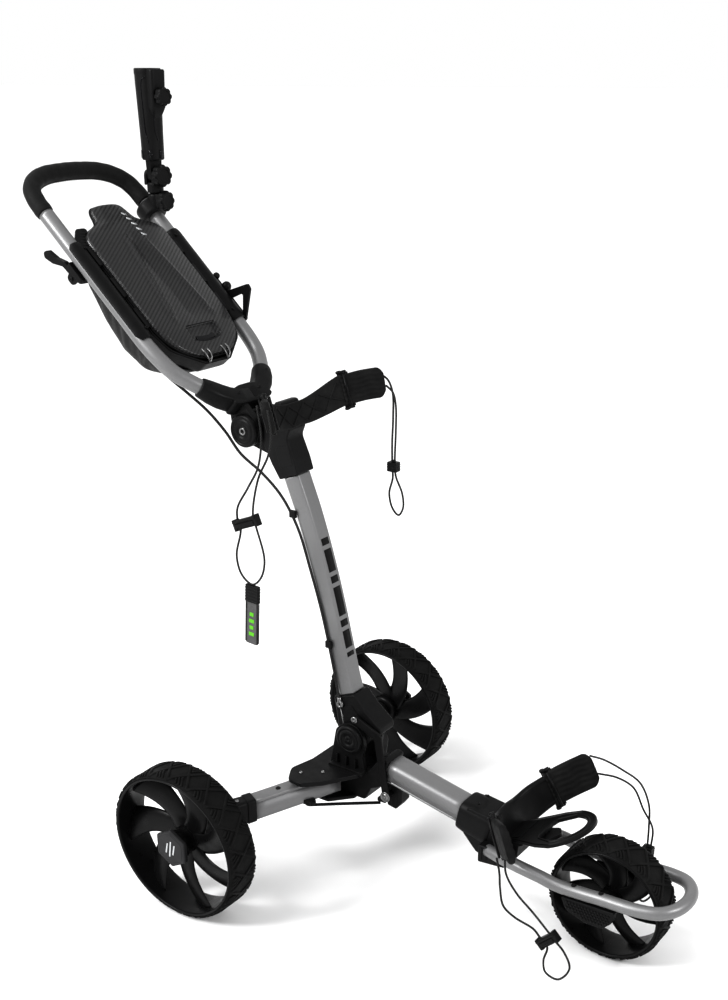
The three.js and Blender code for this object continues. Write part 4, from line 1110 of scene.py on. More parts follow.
def ribbon(points, count, thickness, height):
    """A band on edge along a path; thickness and height are functions of t in 0..1 along it."""
    path = smooth_path(points, count)
    rings = []
    for i, (p, way) in enumerate(zip(path, directions(path))):
        t = i / (count - 1)
        out, rise = band_axes(way)
        section = box_section(thickness(t), height(t), min(thickness(t) / 2 * 0.9, 3.5), 3)
        rings.append([p + out * a + rise * b for a, b in section])
    return skin(rings)


def upper_height(t):
    return 36 + 12 * abs(2 * t - 1) ** 1.5


def lower_height(t):
    return 60 - 16 * abs(2 * t - 1)


def arm_ridges(points, height, count):
    """Slanted raised ribs crossing over the outer face of a band."""
    steps = 160
    path = smooth_path(points, steps)
    ways = directions(path)
    ribs = []
    for k in range(count):
        for turn in (-1, 1):
            line = []
            for t in np.linspace(0, 1, 9):
                i = int((0.06 + 0.88 * (k + t) / count) * (steps - 1))
                out, rise = band_axes(ways[i])
                level = turn * (t - 0.5) * 0.74 * height
                line.append(path[i] + out * 4.6 + rise * level)
            ribs.append(tube(line, 1.5, 8, tuple(CRADLE_UP)))
    return joined(*ribs)


def pad_path(points):
    """A pad's middle line on the cart's right side."""
    return smooth_path(mirrored(points), 40)


def pad_form(points, height):
    """A strap pad: its outer face carries wavy ribs, its free end is round."""
    path = pad_path(points)
    levels = np.linspace(-0.5, 0.5, 33)
    rings = []
    for i, (p, way) in enumerate(zip(path, directions(path))):
        t = i / (len(path) - 1)
        out, rise = band_axes(way)
        span = height * (1 if t < 0.84 else math.sqrt(max(1 - ((t - 0.84) / 0.2) ** 2, 0.3)))
        front, back = [], []
        for level in levels:
            phase = level * span / height * 6.5 + 0.13 * math.sin(t * 14 + 2)
            rib = 1.1 * (0.5 + 0.5 * math.cos(2 * math.pi * phase))
            edge = 1 - abs(2 * level) ** 8
            half = 1.5 + (4.2 + rib) * math.sqrt(max(edge, 0))
            front.append(p - out * half + rise * level * span)
            back.append(p + out * (1.5 + 4.4 * math.sqrt(max(edge, 0))) + rise * level * span)
        rings.append(front + back[::-1])
    return skin(rings)


def pad_buckle(points, height):
    """The frame round a pad's inner end: two uprights, bars and a pin with knob ends."""
    path = pad_path(points)
    way = unit(path[6] - path[0])
    out, rise = band_axes(way)
    h = height / 2
    pin_head = [(AXIS, 0), (4.2, 0), (4.6, 1.6), (4, 3.6), (AXIS, 4.4)]

    def at(along, off, up):
        return path[0] + way * along + out * off + rise * up

    def bar_between(a, b, r):
        return tube([at(*a), at(*b)], r, 12, tuple(out))

    parts = [
        bar_between((1.2, 0, -h - 4), (1.2, 0, h + 4), 3.4),
        bar_between((12.5, 0, -h - 3), (12.5, 0, h + 3), 3.2),
        *[bar_between((0, 0, level), (13, 0, level), 3.2) for level in (h + 3, -h - 3)],
        *[bar_between((6.5, off, -h - 1), (6.5, off, h + 1), 2.1) for off in (-7.6, 7.2)],
        turned(pin_head, at(1.2, 0, h + 3), rise, 20),
        turned(pin_head, at(1.2, 0, -h - 3), -rise, 20),
    ]
    return joined(*parts)


piece("upper_cradle_band", joined(
    ribbon(both_arms(UPPER_ARM), 80, lambda t: 9, upper_height),
    arm_ridges(both_arms(UPPER_ARM), 40, 5)), rubber, "upright", "rubber", ["upper_cradle"])
piece("lower_cradle_band", joined(
    ribbon(both_arms(LOWER_ARM), 80, lambda t: 9 + 2 * math.sin(math.pi * t), lower_height)),
    plastic, "chassis", "black_plastic", ["lower_cradle"])
piece("lower_cradle_rims", joined(*[
    tube([p + CRADLE_UP * side * 0.46 * lower_height(i / 60)
          for i, p in enumerate(smooth_path(both_arms(LOWER_ARM), 61))], 5.4, 12, tuple(CRADLE_UP))
    for side in (-1, 1)]), plastic, "chassis", "black_plastic")
on_both_sides("upper_pad_ribbed", pad_form(UPPER_PAD, UPPER_PAD_HEIGHT), rubber, "upright", "rubber",
              ["upper_strap_pad_"])
on_both_sides("lower_pad_ribbed", pad_form(LOWER_PAD, LOWER_PAD_HEIGHT), rubber, "chassis", "rubber",
              ["lower_strap_pad_"])
on_both_sides("upper_pad_buckle", pad_buckle(UPPER_PAD, UPPER_PAD_HEIGHT), plastic, "upright",
              "black_plastic")
on_both_sides("lower_pad_buckle", pad_buckle(LOWER_PAD, LOWER_PAD_HEIGHT), plastic, "chassis",
              "black_plastic")

# ---------- upright ----------
UPRIGHT_LINE = [(19, 648), (42, 589), (63, 524), (82, 455), (99, 383), (114, 320), (119, 304)]
UPRIGHT_STEPS = 200


def upright_frames():
    """The tube's middle line, and the direction its front faces at each point."""
    path = smooth_path([(x, 0, z) for x, z in UPRIGHT_LINE], UPRIGHT_STEPS + 1)
    d = directions(path)
    front = np.stack([-d[:, 2], np.zeros(len(d)), d[:, 0]], -1)
    return path, front * np.sign(front[:, :1])


def upright_ring(p, front, section):
    return [p + np.array([0, 1, 0]) * a + front * b for a, b in section]


UPRIGHT_FACETS = rounded([(15, 15.5), (-15, 15.5), (-19.5, -8), (-9, -19.5), (9, -19.5), (19.5, -8)],
                         [3.5, 3.5, 5, 6, 6, 5], 4)
upright_path, upright_front = upright_frames()
piece("upright_tube", skin([upright_ring(p, f, UPRIGHT_FACETS)
                            for p, f in zip(upright_path, upright_front)]),
      silver, "upright", "silver", ["main_upright"])


def upright_marks():
    """Generic trim on the front facet: one black stripe broken into dashes."""
    half = 8.5
    section = [(half, 15.3), (half, 15.9), (-half, 15.9), (-half, 15.3)]
    bars = []
    for low, high in ((0.29, 0.32), (0.34, 0.44), (0.46, 0.49), (0.51, 0.64), (0.66, 0.69), (0.71, 0.79),
                      (0.81, 0.83)):
        steps = range(round(low * UPRIGHT_STEPS), round(high * UPRIGHT_STEPS) + 1)
        bars.append(skin([upright_ring(upright_path[i], upright_front[i], section) for i in steps]))
    return joined(*bars)


piece("upright_trim", upright_marks(), decal_black, "upright", "silver")
lug_outline = rounded([(-18, 737), (-57, 738), (-76, 730), (-83, 712), (-76, 693), (-57, 686), (-18, 676)],
                      [2, 14, 12, 12, 12, 14, 2])
sleeve_outline = rounded([(0.8, 641.6), (37.4, 655.8), (31, 676), (17, 708), (23.6, 723), (9.8, 764),
                          (-4, 762), (-14, 738), (-27.5, 736), (-27.5, 690), (-14, 664)],
                         [3, 3, 10, 12, 6, 6, 6, 8, 6, 6, 10])
piece("collar_sleeve", slab(sleeve_outline, -20.5, 20.5), base_plastic, "upright", "black_plastic",
      ["upper_collar"], bevel=4)
piece("collar_lug", slab(lug_outline, -15.5, 15.5), base_plastic, "upright", "black_plastic", bevel=2)
collar_panel = rounded([(3, 660), (28, 669), (20, 697), (-6, 692)], 4)
collar_trim = [slab(collar_panel, s * 20.2 - 0.8, s * 20.2 + 0.8) for s in (-1, 1)]
collar_trim += [screw((-1, s * 20.4, 748), (0, s, 0), 3.2) for s in (-1, 1)]
piece("collar_trim", joined(*collar_trim), base_plastic, "upright", "black_plastic", bevel=0.6)
shoe_outline = rounded([
    (98, 296.8), (138.6, 309.4), (158, 288), (188, 264), (190, 250), (170, 243), (160, 226),
    (148, 212), (132, 210), (116, 220), (106, 246)], [4, 5, 20, 10, 8, 12, 10, 10, 12, 10, 20])
piece("shoe_body", slab(shoe_outline, -20.6, 20.6), base_plastic, "upright", "black_plastic",
      ["lower_shoe"], bevel=4.5)
shoe_panel = rounded([(112, 282), (134, 289), (146, 276), (168, 259), (160, 250), (140, 248), (118, 256)], 5)
piece("shoe_trim", joined(
    *[slab(shoe_panel, s * 20.6 - 0.9, s * 20.6 + 0.9) for s in (-1, 1)],
    *[screw((176, s * 20.6, 254), (0, s, 0), 3.4) for s in (-1, 1)]),
    base_plastic, "upright", "black_plastic", bevel=0.6)

# ---------- fold linkage ----------
link_outline = rounded([(141, 264), (183, 246), (200, 144), (212, 146), (196, 256), (149, 277), (140, 274)],
                       [5, 10, 5, 5, 12, 5, 3])
piece("link_strap", joined(
    slab(link_outline, -29, -24.3),
    tube([(145, -26, 270), (145, -21.1, 270)], 4, 20)), plastic, "fold_link", "black_plastic",
    ["fold_link"], bevel=1)
piece("link_bolts", joined(
    turned([(AXIS, 0), (9, 0), (9, 1.6), (7.6, 2.4), (7, 1.5), (5.4, 1.5), (5, 2.6), (AXIS, 2.6)],
           (206, -29, 148), (0, -1, 0), 40),
    turned([(AXIS, 0), (6, 0), (6, 1), (4.8, 1.9), (AXIS, 2.1)], (145, -29, 270), (0, -1, 0), 32)),
    steel, "fold_link", "steel")
slider_outline = rounded([(197, 165.8), (226, 160), (226, 134), (215, 119), (198, 122)], [2, 6, 5, 5, 4])
slider = joined(
    slab(slider_outline, -12, 12),
    box_form((184, -21, 129), (200, 21, 136)),
    tube([(206, -23.7, 148), (206, 12, 148)], 5, 24))
piece("slider_bracket", slider, base_plastic, "fold_slider", "black_plastic", ["fold_slider"], bevel=1.6)
piece("slider_ribs", joined(*[box_form((x, -12.6, 124), (x + 2.5, 12.6, 158)) for x in (199, 207, 215)]),
      plastic, "fold_slider", "black_plastic", bevel=0.5)


# ---------- handle ----------
def handle_piece(name, form, material, slot, replaces=(), body="handle", **looks):
    return piece(name, moved(form, from_handle), material, body, slot, replaces, **looks)


def handle_pair(name, form, material, slot, replaces=(), **looks):
    on_both_sides(name, moved(form, from_handle), material, "handle", slot, replaces, **looks)


HALF_WIDTH = 106
tube_line = [(x, -HALF_WIDTH, 0) for x in (-133.8, -40, 60, 122)]
tube_line += [(154, -103, 1), (182, -96, 2), (206, -81, 4), (222.8, -67, 5)]
handle_pair("handle_tube_bent", tube(smooth_path(tube_line, 70), 12, 28, UP), silver, "silver",
            ["handle_tube_"])

grip_half = [(-135, 106, 0), (-158, 105.5, 0), (-180, 99, 0), (-197, 81, 0), (-207, 54, 0), (-210, 26, 0)]
grip_line = [(x, -y, z) for x, y, z in grip_half] + [(-211, 0, 0)] + list(reversed(grip_half))
grip_path = smooth_path(grip_line, 190)


def grip_form():
    """The wrapped grip: a sleeve with swollen ends and slight waves under the wrap."""
    t = np.linspace(0, 1, len(grip_path))
    ends = np.minimum(t, 1 - t) * 190
    radii = 13.5 - 0.5 * np.exp(-ends / 2) + 0.35 * np.exp(-((ends - 5) / 3) ** 2)
    radii = radii + 0.12 * np.sin(t * 95)
    return tube(grip_path, radii, 36)


def grip_seam():
    """The seam along the inside of the bend, with cross stitches."""
    inward = np.cross(directions(grip_path), UP)
    inward *= np.sign(np.einsum("ij,ij->i", inward, -grip_path))[:, None]
    seam = grip_path + (inward * 12.6 + np.array([0, 0, -5]))
    parts = [tube(seam[2:-2], 0.9, 8)]
    for i in range(6, len(seam) - 6, 3):
        a = seam[i] + np.array([0, 0, 2.2])
        b = seam[i + 1] + np.array([0, 0, -2.2])
        parts.append(tube([a, (a + b) / 2 + inward[i] * 1.1, b], 0.5, 6))
    return joined(*parts)


handle_piece("grip_wrap", grip_form(), leather, "foam", ["grip"])
handle_piece("grip_seam", grip_seam(), leather, "foam")


def yoke_arm():
    """The left arm: lofted from the round tube socket to the flat root over the pivot."""
    stations = [
        ((217, 72.5, 4.4), 14.6, 14.6, 0), ((219, 70.8, 4.5), 15.6, 15.4, 0),
        ((230, 61, 4.5), 15.8, 15.6, 1), ((241, 49, 4.2), 15.6, 15.8, 2), ((250, 36, 4), 14.6, 16, 3),
        ((256, 20, 4), 13.4, 16, 4), ((257.5, 0, 4), 12.6, 16, 4)]
    places = np.array([station[0] for station in stations])
    rings = []
    for i, (place, half_a, half_b, square) in enumerate(stations):
        way = unit(places[min(i + 1, len(places) - 1)] - places[max(i - 1, 0)])
        across = unit(np.cross(UP, way))
        ring = []
        for a in np.linspace(0, 2 * math.pi, 32, endpoint=False):
            power = 2 / (2 + square)
            u = math.copysign(abs(math.cos(a)) ** power, math.cos(a)) * half_a
            v = math.copysign(abs(math.sin(a)) ** power, math.sin(a)) * half_b
            ring.append(np.array(place) + across * u + np.array([0, 0, 1]) * v)
        rings.append(ring)
    return skin(rings)


left_arm = yoke_arm()
handle_piece("yoke_arms", joined(left_arm, flipped(left_arm)), base_plastic, "black_plastic", ["yoke"])
saddle = rounded([(242, -30), (266, -46), (271, -34), (271, 34), (266, 46), (242, 30), (238, 12),
                  (238, -12)], 6)
handle_piece("yoke_saddle", slab(saddle, -11, 19.5, "xy"), base_plastic, "black_plastic", bevel=6)
cheek = rounded([(256, -12), (256, 16), (300, 14), (318, 6), (327, -10), (320, -32), (300, -40), (280, -32)],
                [2, 8, 20, 12, 12, 12, 14, 14])
handle_piece("yoke_cheeks", joined(slab(cheek, -28, -16), slab(cheek, 16, 28)), base_plastic,
             "black_plastic", bevel=2.4)
handle_piece("yoke_trim", joined(*[
    screw((x, s * y, z), UP, r) for x, y, z, r in ((252, 24, 19.6, 3.4), (226, 66, 18.6, 2.8))
    for s in (-1, 1)]), plastic, "black_plastic")

# ---------- console ----------
LID_TOP_END, LID_LOW_END = -126, 174
LID_EDGE_LEVEL, LID_UNDERSIDE = 8.8, 8.7
LID_HALF_WIDTHS = [
    (LID_TOP_END, 24), (-124, 29), (-119, 34), (-112, 37), (-102, 39.5), (-95, 42.5), (-90, 50), (-85, 62),
    (-80, 72), (-74, 79.5), (-66, 83.6), (-50, 84.4), (0, 84.4), (70, 84.4), (104, 83.8), (120, 81),
    (134, 76.5), (146, 69.5), (156, 60), (164, 49), (170, 38), (LID_LOW_END, 26)]


def lid_half_width(x):
    xs, ws = zip(*LID_HALF_WIDTHS)
    return float(np.interp(x, xs, ws))


def smooth_step(t):
    t = min(max(t, 0), 1)
    return t * t * (3 - 2 * t)


def lid_height(x, v):
    """The lid's top surface over its plane; v runs -1..1 across it."""
    crown = 6 * (1 - abs(v) ** 2.6)
    nose = 1 - 0.5 * smooth_step((-70 - x) / 56)
    tail = 1 - 0.6 * smooth_step((x - 120) / 54)
    rise = 2.5 + 5.5 * nose * tail + crown * tail
    t = (x + 70) / 190
    y = abs(v) * lid_half_width(x)
    crease = 10 + 34 * min(max(t, 0), 1) ** 0.8
    strength = smooth_step(t * 6) * (1 - smooth_step((t - 0.82) / 0.18))
    ridge = 4.2 * math.exp(-((y - crease) / 5) ** 2) * strength
    valley = -5.5 * max(0, 1 - y / crease) ** 1.2 * strength
    reach = abs(y) / 34
    low_edge = 150 - 6 * reach ** 2
    inside = smooth_step((x - 121) / 4) * smooth_step((low_edge - x) / 3) * smooth_step((1 - reach) * 8)
    return rise + ridge + valley - 6 * inside


def lid_form():
    """The lid's shell, with close rows of points at its ends and edges."""
    xs = np.concatenate([np.linspace(LID_TOP_END, -66, 34), np.linspace(-62, 110, 80),
                         np.linspace(111, LID_LOW_END, 64)])
    vs = np.concatenate([np.linspace(-1, -0.93, 4), np.linspace(-0.91, 0.91, 111),
                         np.linspace(0.93, 1, 4)])
    rings = []
    for x in xs:
        w = lid_half_width(x)
        edge_x = min((x - LID_TOP_END) / 5, (LID_LOW_END - x) / 5, 1)
        top = []
        for v in vs:
            inset = min((1 - abs(v)) * w / 4.5, 1)
            fall = math.sqrt(max(1 - (1 - inset) ** 2, 0)) * math.sqrt(max(1 - (1 - edge_x) ** 2, 0))
            top.append((x, v * w, LID_EDGE_LEVEL + 2 + (lid_height(x, v) - 2) * fall))
        low = [(x, v * w, LID_UNDERSIDE) for v in reversed(vs)]
        rings.append(top + low)
    return skin(rings)


tray_outline = rounded([(-84, -73), (-70, -87), (112, -87), (148, -78), (183, -28), (183, 28), (148, 78),
                        (112, 87), (-70, 87), (-84, 73)], [6, 8, 30, 30, 10, 10, 30, 30, 8, 6])


def tray_shell():
    """The tray under the lid: sloping walls, a rolled lip and a flat floor."""
    levels = [(0.90, -22), (0.955, -20.5), (0.985, -12), (1, 3), (1.008, 6), (1, 8.2), (0.975, 8.2),
              (0.965, 5), (0.95, -10), (0.9, -17.6)]
    rings = []
    for scale, z in levels:
        rings.append([(49 + (x - 49) * (scale + 0.02 * (1 - scale)), y * scale, z) for x, y in tray_outline])
    return skin(rings)


def rail_sleeve():
    """The dark half-sleeve that lies over a handle tube and clips the tray to it."""
    rings = []
    for x in np.linspace(-66, 120, 36):
        cut = min((x + 66) / 6, (120 - x) / 10, 1)
        reach = math.radians(150) * (0.7 + 0.3 * cut)
        outer, inner = [], []
        for a in np.linspace(math.pi / 2 - reach * 0.62, math.pi / 2 + reach * 0.45, 20):
            grow = 12.7 + 3.2 * (0.55 + 0.45 * cut)
            outer.append((x, grow * math.cos(a) - HALF_WIDTH, grow * math.sin(a)))
            inner.append((x, 12.5 * math.cos(a) - HALF_WIDTH, 12.5 * math.sin(a)))
        rings.append(outer + inner[::-1])
    return skin(rings)


handle_piece("tray_shell", tray_shell(), base_plastic, "black_plastic", ["console_tray"], bevel=0.8)
handle_pair("tray_rail", rail_sleeve(), plastic, "black_plastic", bevel=0.6)
handle_pair("tray_rail_ledge", joined(
    *[slab(rounded([(x, -93), (x + 40, -93), (x + 36, -83), (x + 4, -83)], 3), 2, 12.5, "xy")
      for x in (-58, 4, 64)]), base_plastic, "black_plastic", bevel=1.4)
handle_pair("tray_screws", joined(*[screw((x, -98, 15.6), (0, -0.2, 1), 2.6) for x in (-52, 104)]),
            plastic, "black_plastic")
handle_piece("lid_shell", lid_form(), carbon, "carbon", ["console_lid"], body="console_lid")


def lid_level(x, y):
    """The level of the lid's top at a point."""
    return LID_EDGE_LEVEL + lid_height(x, y / lid_half_width(x))


def lid_dashes():
    """Generic bright dashes in a slanting row near the lid's top edge."""
    out = []
    for k in range(5):
        x, y = -104 + 11 * k, 14 + 1.5 * k
        corners = [(x, y), (x + 3, y + 9), (x + 7, y + 9), (x + 4, y)]
        out.append(skin([[(a, b, lid_level(a, b) + lift) for a, b in corners] for lift in (-0.5, 0.4)]))
    return joined(*out)


handle_piece("lid_latch", bar(
    [(141, -20, 13.6), (143.5, -10, 13.9), (144, 0, 14), (143.5, 10, 13.9), (141, 20, 13.6)],
    rounded([(-4.5, -2), (4.5, -2), (3.8, 2.4), (-3.8, 2.4)], 1.2)),
             gloss, "black_plastic", body="console_lid", bevel=0.6)
rim_line = [(121.5, y, lid_level(120.5, y) + 0.2) for y in np.linspace(-30, 30, 9)]
low_line = [(150.6 - 6 * (y / 34) ** 2, y, lid_level(151, y) + 0.2) for y in np.linspace(-31, 31, 9)]
handle_piece("lid_latch_lip", joined(tube(rim_line, 0.8, 8), tube(low_line, 1.1, 8)),
             gloss, "black_plastic", body="console_lid")
handle_piece("lid_dashes", lid_dashes(), decal_silver, "carbon", body="console_lid")
handle_piece("lid_edge", tube(smooth_path(
    [(x, w * 1.003, 9.2) for x, w in LID_HALF_WIDTHS]
    + [(x, -w * 1.003, 9.2) for x, w in reversed(LID_HALF_WIDTHS)] + [(LID_TOP_END, 26, 9.2)], 200),
    1.5, 8), plastic, "black_plastic", body="console_lid")
for side, middle in (("right", -21), ("left", 21)):
    loop = [(x, middle + off, z) for x, off, z in (
        (161, -5.5, 15), (170, -5.5, 16.5), (178, -4, 14), (183, 0, 9), (178, 4, 14), (170, 5.5, 16.5),
        (161, 5.5, 15))]
    handle_piece("tray_wire_loop_" + side, tube(smooth_path(loop, 24), 1.4, 10), steel, "steel")
tab_ribs = [tube([(-80 + 5 * k, -66 - 3.4 * k, 11.5), (-84 + 5 * k, -84 - 2.6 * k, 9)], 1.7, 8)
            for k in range(5)]
handle_piece("tray_corner_tab", joined(
    slab(rounded([(-92, -62), (-58, -78), (-56, -98), (-70, -103), (-92, -84)], 6), 6.4, 10.4, "xy"),
    *tab_ribs), plastic, "black_plastic", bevel=0.9)


# ---------- pouch under the tray: slack cloth hung from the tray's floor ----------
CLOTH_FRAMES = 18
CLOTH_REACH = 0.009  # the furthest that any point of the cloth moves, in metres
POUCH_STATIONS = [(-56, 76, 20), (-30, 80, 34), (20, 80, 54), (70, 80, 62), (115, 76, 54), (150, 60, 28),
                  (168, 44, 6)]


def pouch_grid(count=44, across=56):
    """An open cloth surface from one long edge, round the bottom, to the other."""
    xs, halves, depths = np.array(POUCH_STATIONS, float).T
    rows = []
    for x in np.linspace(xs[0], xs[-1], count):
        half, depth = np.interp(x, xs, halves), np.interp(x, xs, depths)
        row = []
        for a in np.linspace(0, math.pi, across):
            u = math.copysign(abs(math.cos(a)) ** 0.62, math.cos(a))
            row.append((x, half * u, -24 - depth * abs(math.sin(a)) ** 0.62))
        rows.append(row)
    n = across
    faces = [(r * n + i, r * n + i + 1, (r + 1) * n + i + 1, (r + 1) * n + i)
             for r in range(count - 1) for i in range(n - 1)]
    points = np.concatenate([np.array(r) for r in rows])
    held = [r * n + i for r in range(count) for i in range(n)
            if r in (0, count - 1) or i in (0, n - 1)]
    return points, faces, held


def drape(obj, held):
    """Lets the cloth hang from its held edges; no point moves by more than CLOTH_REACH."""
    before = np.array([v.co for v in obj.data.vertices])
    group = obj.vertex_groups.new(name="held")
    group.add(held, 1.0, "REPLACE")
    cloth_modifier = obj.modifiers.new("cloth", "CLOTH")
    settings = cloth_modifier.settings
    settings.vertex_group_mass = "held"
    settings.tension_stiffness = settings.compression_stiffness = 12
    settings.bending_stiffness = 0.4
    settings.mass = 0.25
    settings.shrink_min = -0.03
    cloth_modifier.collision_settings.use_collision = False
    cloth_modifier.point_cache.frame_end = CLOTH_FRAMES
    for number in range(1, CLOTH_FRAMES + 1):
        bpy.context.scene.frame_set(number)
    depsgraph = bpy.context.evaluated_depsgraph_get()
    shape = obj.evaluated_get(depsgraph).to_mesh()
    after = np.array([v.co for v in shape.vertices])
    obj.evaluated_get(depsgraph).to_mesh_clear()
    obj.modifiers.remove(cloth_modifier)
    bpy.context.scene.frame_set(1)
    step = after - before
    size = np.linalg.norm(step, axis=1)[:, None]
    step *= np.minimum(1, CLOTH_REACH / np.maximum(size, 1e-9))
    for vertex, place in zip(obj.data.vertices, before + step):
        vertex.co = place
    obj.data.update()


pouch_points, pouch_faces, pouch_held = pouch_grid()
pouch = make_object("console_pouch", (from_handle(pouch_points), pouch_faces), cloth)
drape(pouch, pouch_held)
subdivision = pouch.modifiers.new("subdivision", "SUBSURF")
subdivision.levels = subdivision.render_levels = 1
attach(pouch, "handle")
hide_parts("pouch")
hem_line = [(x, w, -23.4) for x, w, _ in POUCH_STATIONS]
hem_line += [(x, -w, -23.4) for x, w, _ in reversed(POUCH_STATIONS)] + hem_line[:1]
pouch_hem = handle_piece("console_pouch_hem", tube(smooth_path(hem_line, 120), 1.5, 8), webbing, "fabric")

# ---------- parking brake ----------
clamp_outline = rounded([(-52, -119), (-16, -119), (-16, -93), (-52, -93)], 5)
handle_piece("brake_clamp", joined(
    slab(clamp_outline, -21, -12.4, "xy"),
    *[slab(rounded([(-44, -38), (-26, -38), (-26, -20), (-44, -20)], [8, 8, 1, 1]), y, y + 4)
      for y in (-115, -101)],
    screw((-48, -106, -21), (0, 0, -1), 2.4), screw((-20, -106, -21), (0, 0, -1), 2.4)),
    base_plastic, "black_plastic", ["brake_mount"], bevel=0.9)
lever_outline = rounded([
    (-30, -36), (-27, -30), (-32, -25), (-40, -25), (-64, -26), (-80, -35), (-100, -40), (-104, -48),
    (-97, -53), (-80, -47), (-62, -34), (-44, -33)], [3, 3, 4, 3, 8, 10, 5, 5, 4, 12, 8, 3])
handle_piece("brake_lever_blade", joined(
    slab(lever_outline, -110.4, -101.6),
    *[box_form((-97 + 4 * k, -110.6, -51 + 1.2 * k), (-95.4 + 4 * k, -101.4, -39.6 + 1.2 * k))
      for k in range(4)],
    tube([(-35, -115.6, -31), (-35, -96.4, -31)], 2.5, 16),
    screw((-35, -115.2, -31), (0, -1, 0), 3.6)), base_plastic, "black_plastic", ["brake_lever"],
    body="brake_lever", bevel=1.2)

# ---------- brake cable: one run from the lever, over the pivot, down the upright ----------
UPPER_CABLE = [(-10, -105, -16), (60, -105, -15.5), (110, -104, -16), (146, -101, -15.5),
               (178, -92, -15), (208, -77, -18), (244, -57, -25), (281, -42, -35)]
CABLE_SIDES = 12
LOWER_CABLE = [(-64, -34, 676), (-28, -26, 648), (6, -22.4, 616), (36, -22.3, 570),
               (58, -22.3, 508), (79, -22.3, 440), (96, -22.3, 368), (106, -22.4, 320), (112, -23, 290)]
cable_path = smooth_path([tuple(p) for p in from_handle(UPPER_CABLE)] + LOWER_CABLE, 220)
brake_cable = make_object("brake_cable", tube(cable_path, 2.2, CABLE_SIDES), cord_cover)
along_uv(brake_cable, cable_path, CABLE_SIDES)
over_pivot = int(np.argmin(np.linalg.norm(cable_path - from_handle(UPPER_CABLE[-1]), axis=1)))
tuple(metres(cable_path[over_pivot - 14]))
tuple(metres(cable_path[over_pivot + 16]))
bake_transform(brake_cable)
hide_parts("brake_cable_upper", "brake_cable_lower")
piece("brake_cable_ferrule", turned([(2.4, 0), (3.6, 0.6), (3.6, 9), (2.4, 10)], (110.6, -22.7, 299),
                                    (0.2, 0, -1), 16), steel, "upright", "steel")
piece("brake_cable_eyelet", joined(
    turned([(2.4, 0), (6, 0), (6.4, 1.2), (6, 4.6), (2.4, 4.6)], (113, -21, 287), (0, -1, 0), 32),
    tube([(114, -23.4, 281), (120, -26, 262), (126, -29, 248)], 0.9, 8)), steel, "upright", "steel")
piece("brake_cable_clips", joined(*[
    box_form((x - 5, -25.2, z - 6), (x + 7, -19.6, z + 6)) for x, z in ((26, 592), (91, 387))]),
    plastic, "upright", "black_plastic", bevel=1.2)

# ---------- accessories on the left tube ----------
INNER = HALF_WIDTH + 13
bracket_arm = rounded([(62, 2), (78, 2), (92, 34), (118, 2), (124, 4), (98, 50), (89, 52)],
                      [2, 6, 4, 4, 2, 4, 4])
handle_piece("accessory_plate", joined(
    slab(rounded([(28, -10), (122, -10), (122, 8), (28, 8)], 4), INNER, INNER + 7),
    slab(bracket_arm, INNER + 0.5, INNER + 5)), base_plastic, "black_plastic",
    ["accessory_bracket"], bevel=1.3)
handle_piece("accessory_knobs", joined(
    turned([(AXIS, 0), (8, 0), (8.4, 3), (8, 9), (6.6, 13), (4, 15.4), (AXIS, 16)],
           (58, INNER + 8.4, 2), UP, 32),
    turned([(AXIS, 0), (5.5, 0), (5.5, 6.4), (4.4, 8.6), (AXIS, 9.2)], (34, INNER + 5.9, 4), UP, 28)),
    plastic, "black_plastic")
handle_piece("accessory_screws", joined(*[screw((x, INNER + 7, -1), (0, 1, 0), 2.6) for x in (36, 100)]),
             steel, "steel")

# ---------- umbrella holder ----------
UMBRELLA_PLACE = (-342, 106)
UMBRELLA_TURN = math.radians(-10)
CLAMP_SEAT, KNUCKLE, HOLDER_FOOT, LOCK, HOLDER_TOP = 1031.5, 1059, 1082, 1176, 1216


def from_umbrella(points):
    """Millimetres round the umbrella tube's axis to cart millimetres."""
    p = np.asarray(points, float)
    c, s = math.cos(UMBRELLA_TURN), math.sin(UMBRELLA_TURN)
    return np.stack([UMBRELLA_PLACE[0] + c * p[..., 0] - s * p[..., 1],
                     UMBRELLA_PLACE[1] + s * p[..., 0] + c * p[..., 1], p[..., 2]], -1)


def umbrella_piece(name, form, material, body, slot, replaces=(), **looks):
    return piece(name, moved(form, from_umbrella), material, body, slot, replaces, **looks)


down_tube = (math.cos(HANDLE_TILT), 0, -math.sin(HANDLE_TILT))
clamp_start = tuple(from_handle((-128, HALF_WIDTH, 0)))
ux, uy = UMBRELLA_PLACE
piece("umbrella_clamp_ring", joined(
    turned([(12.2, 0), (21, 0), (23, 2), (23, 22), (21, 24), (12.2, 24)], clamp_start, down_tube, 48),
    turned([(AXIS, 0), (13, 0), (13, 21), (11.6, 23.4), (AXIS, 23.4)],
           (ux, uy, CLAMP_SEAT - 24), UP, 40),
    box_form((ux - 8, uy - 10, CLAMP_SEAT - 22), (ux + 14.4, uy + 10, CLAMP_SEAT - 0.6))),
    base_plastic, "handle", "black_plastic", ["umbrella_clamp"], bevel=1.6)


def slab_in_x(outline, low, high):
    """A slab of a (y, z) outline between two levels of X."""
    return skin([[(x, y, z) for y, z in outline] for x in (low, high)])


def fork_ear(low, high):
    """A round-topped ear between two levels of X."""
    outline = rounded([(-12, KNUCKLE - 15), (12, KNUCKLE - 15), (12, KNUCKLE + 9), (-12, KNUCKLE + 9)],
                      [1, 1, 11, 11])
    return slab_in_x(outline, low, high)


def holder_tongue():
    """The tongue under the holder's foot, between the ears."""
    outline = rounded([(-10, KNUCKLE - 10), (10, KNUCKLE - 10), (12, HOLDER_FOOT + 6),
                       (-12, HOLDER_FOOT + 6)], [9, 9, 1, 1])
    return slab_in_x(outline, -6, 6)


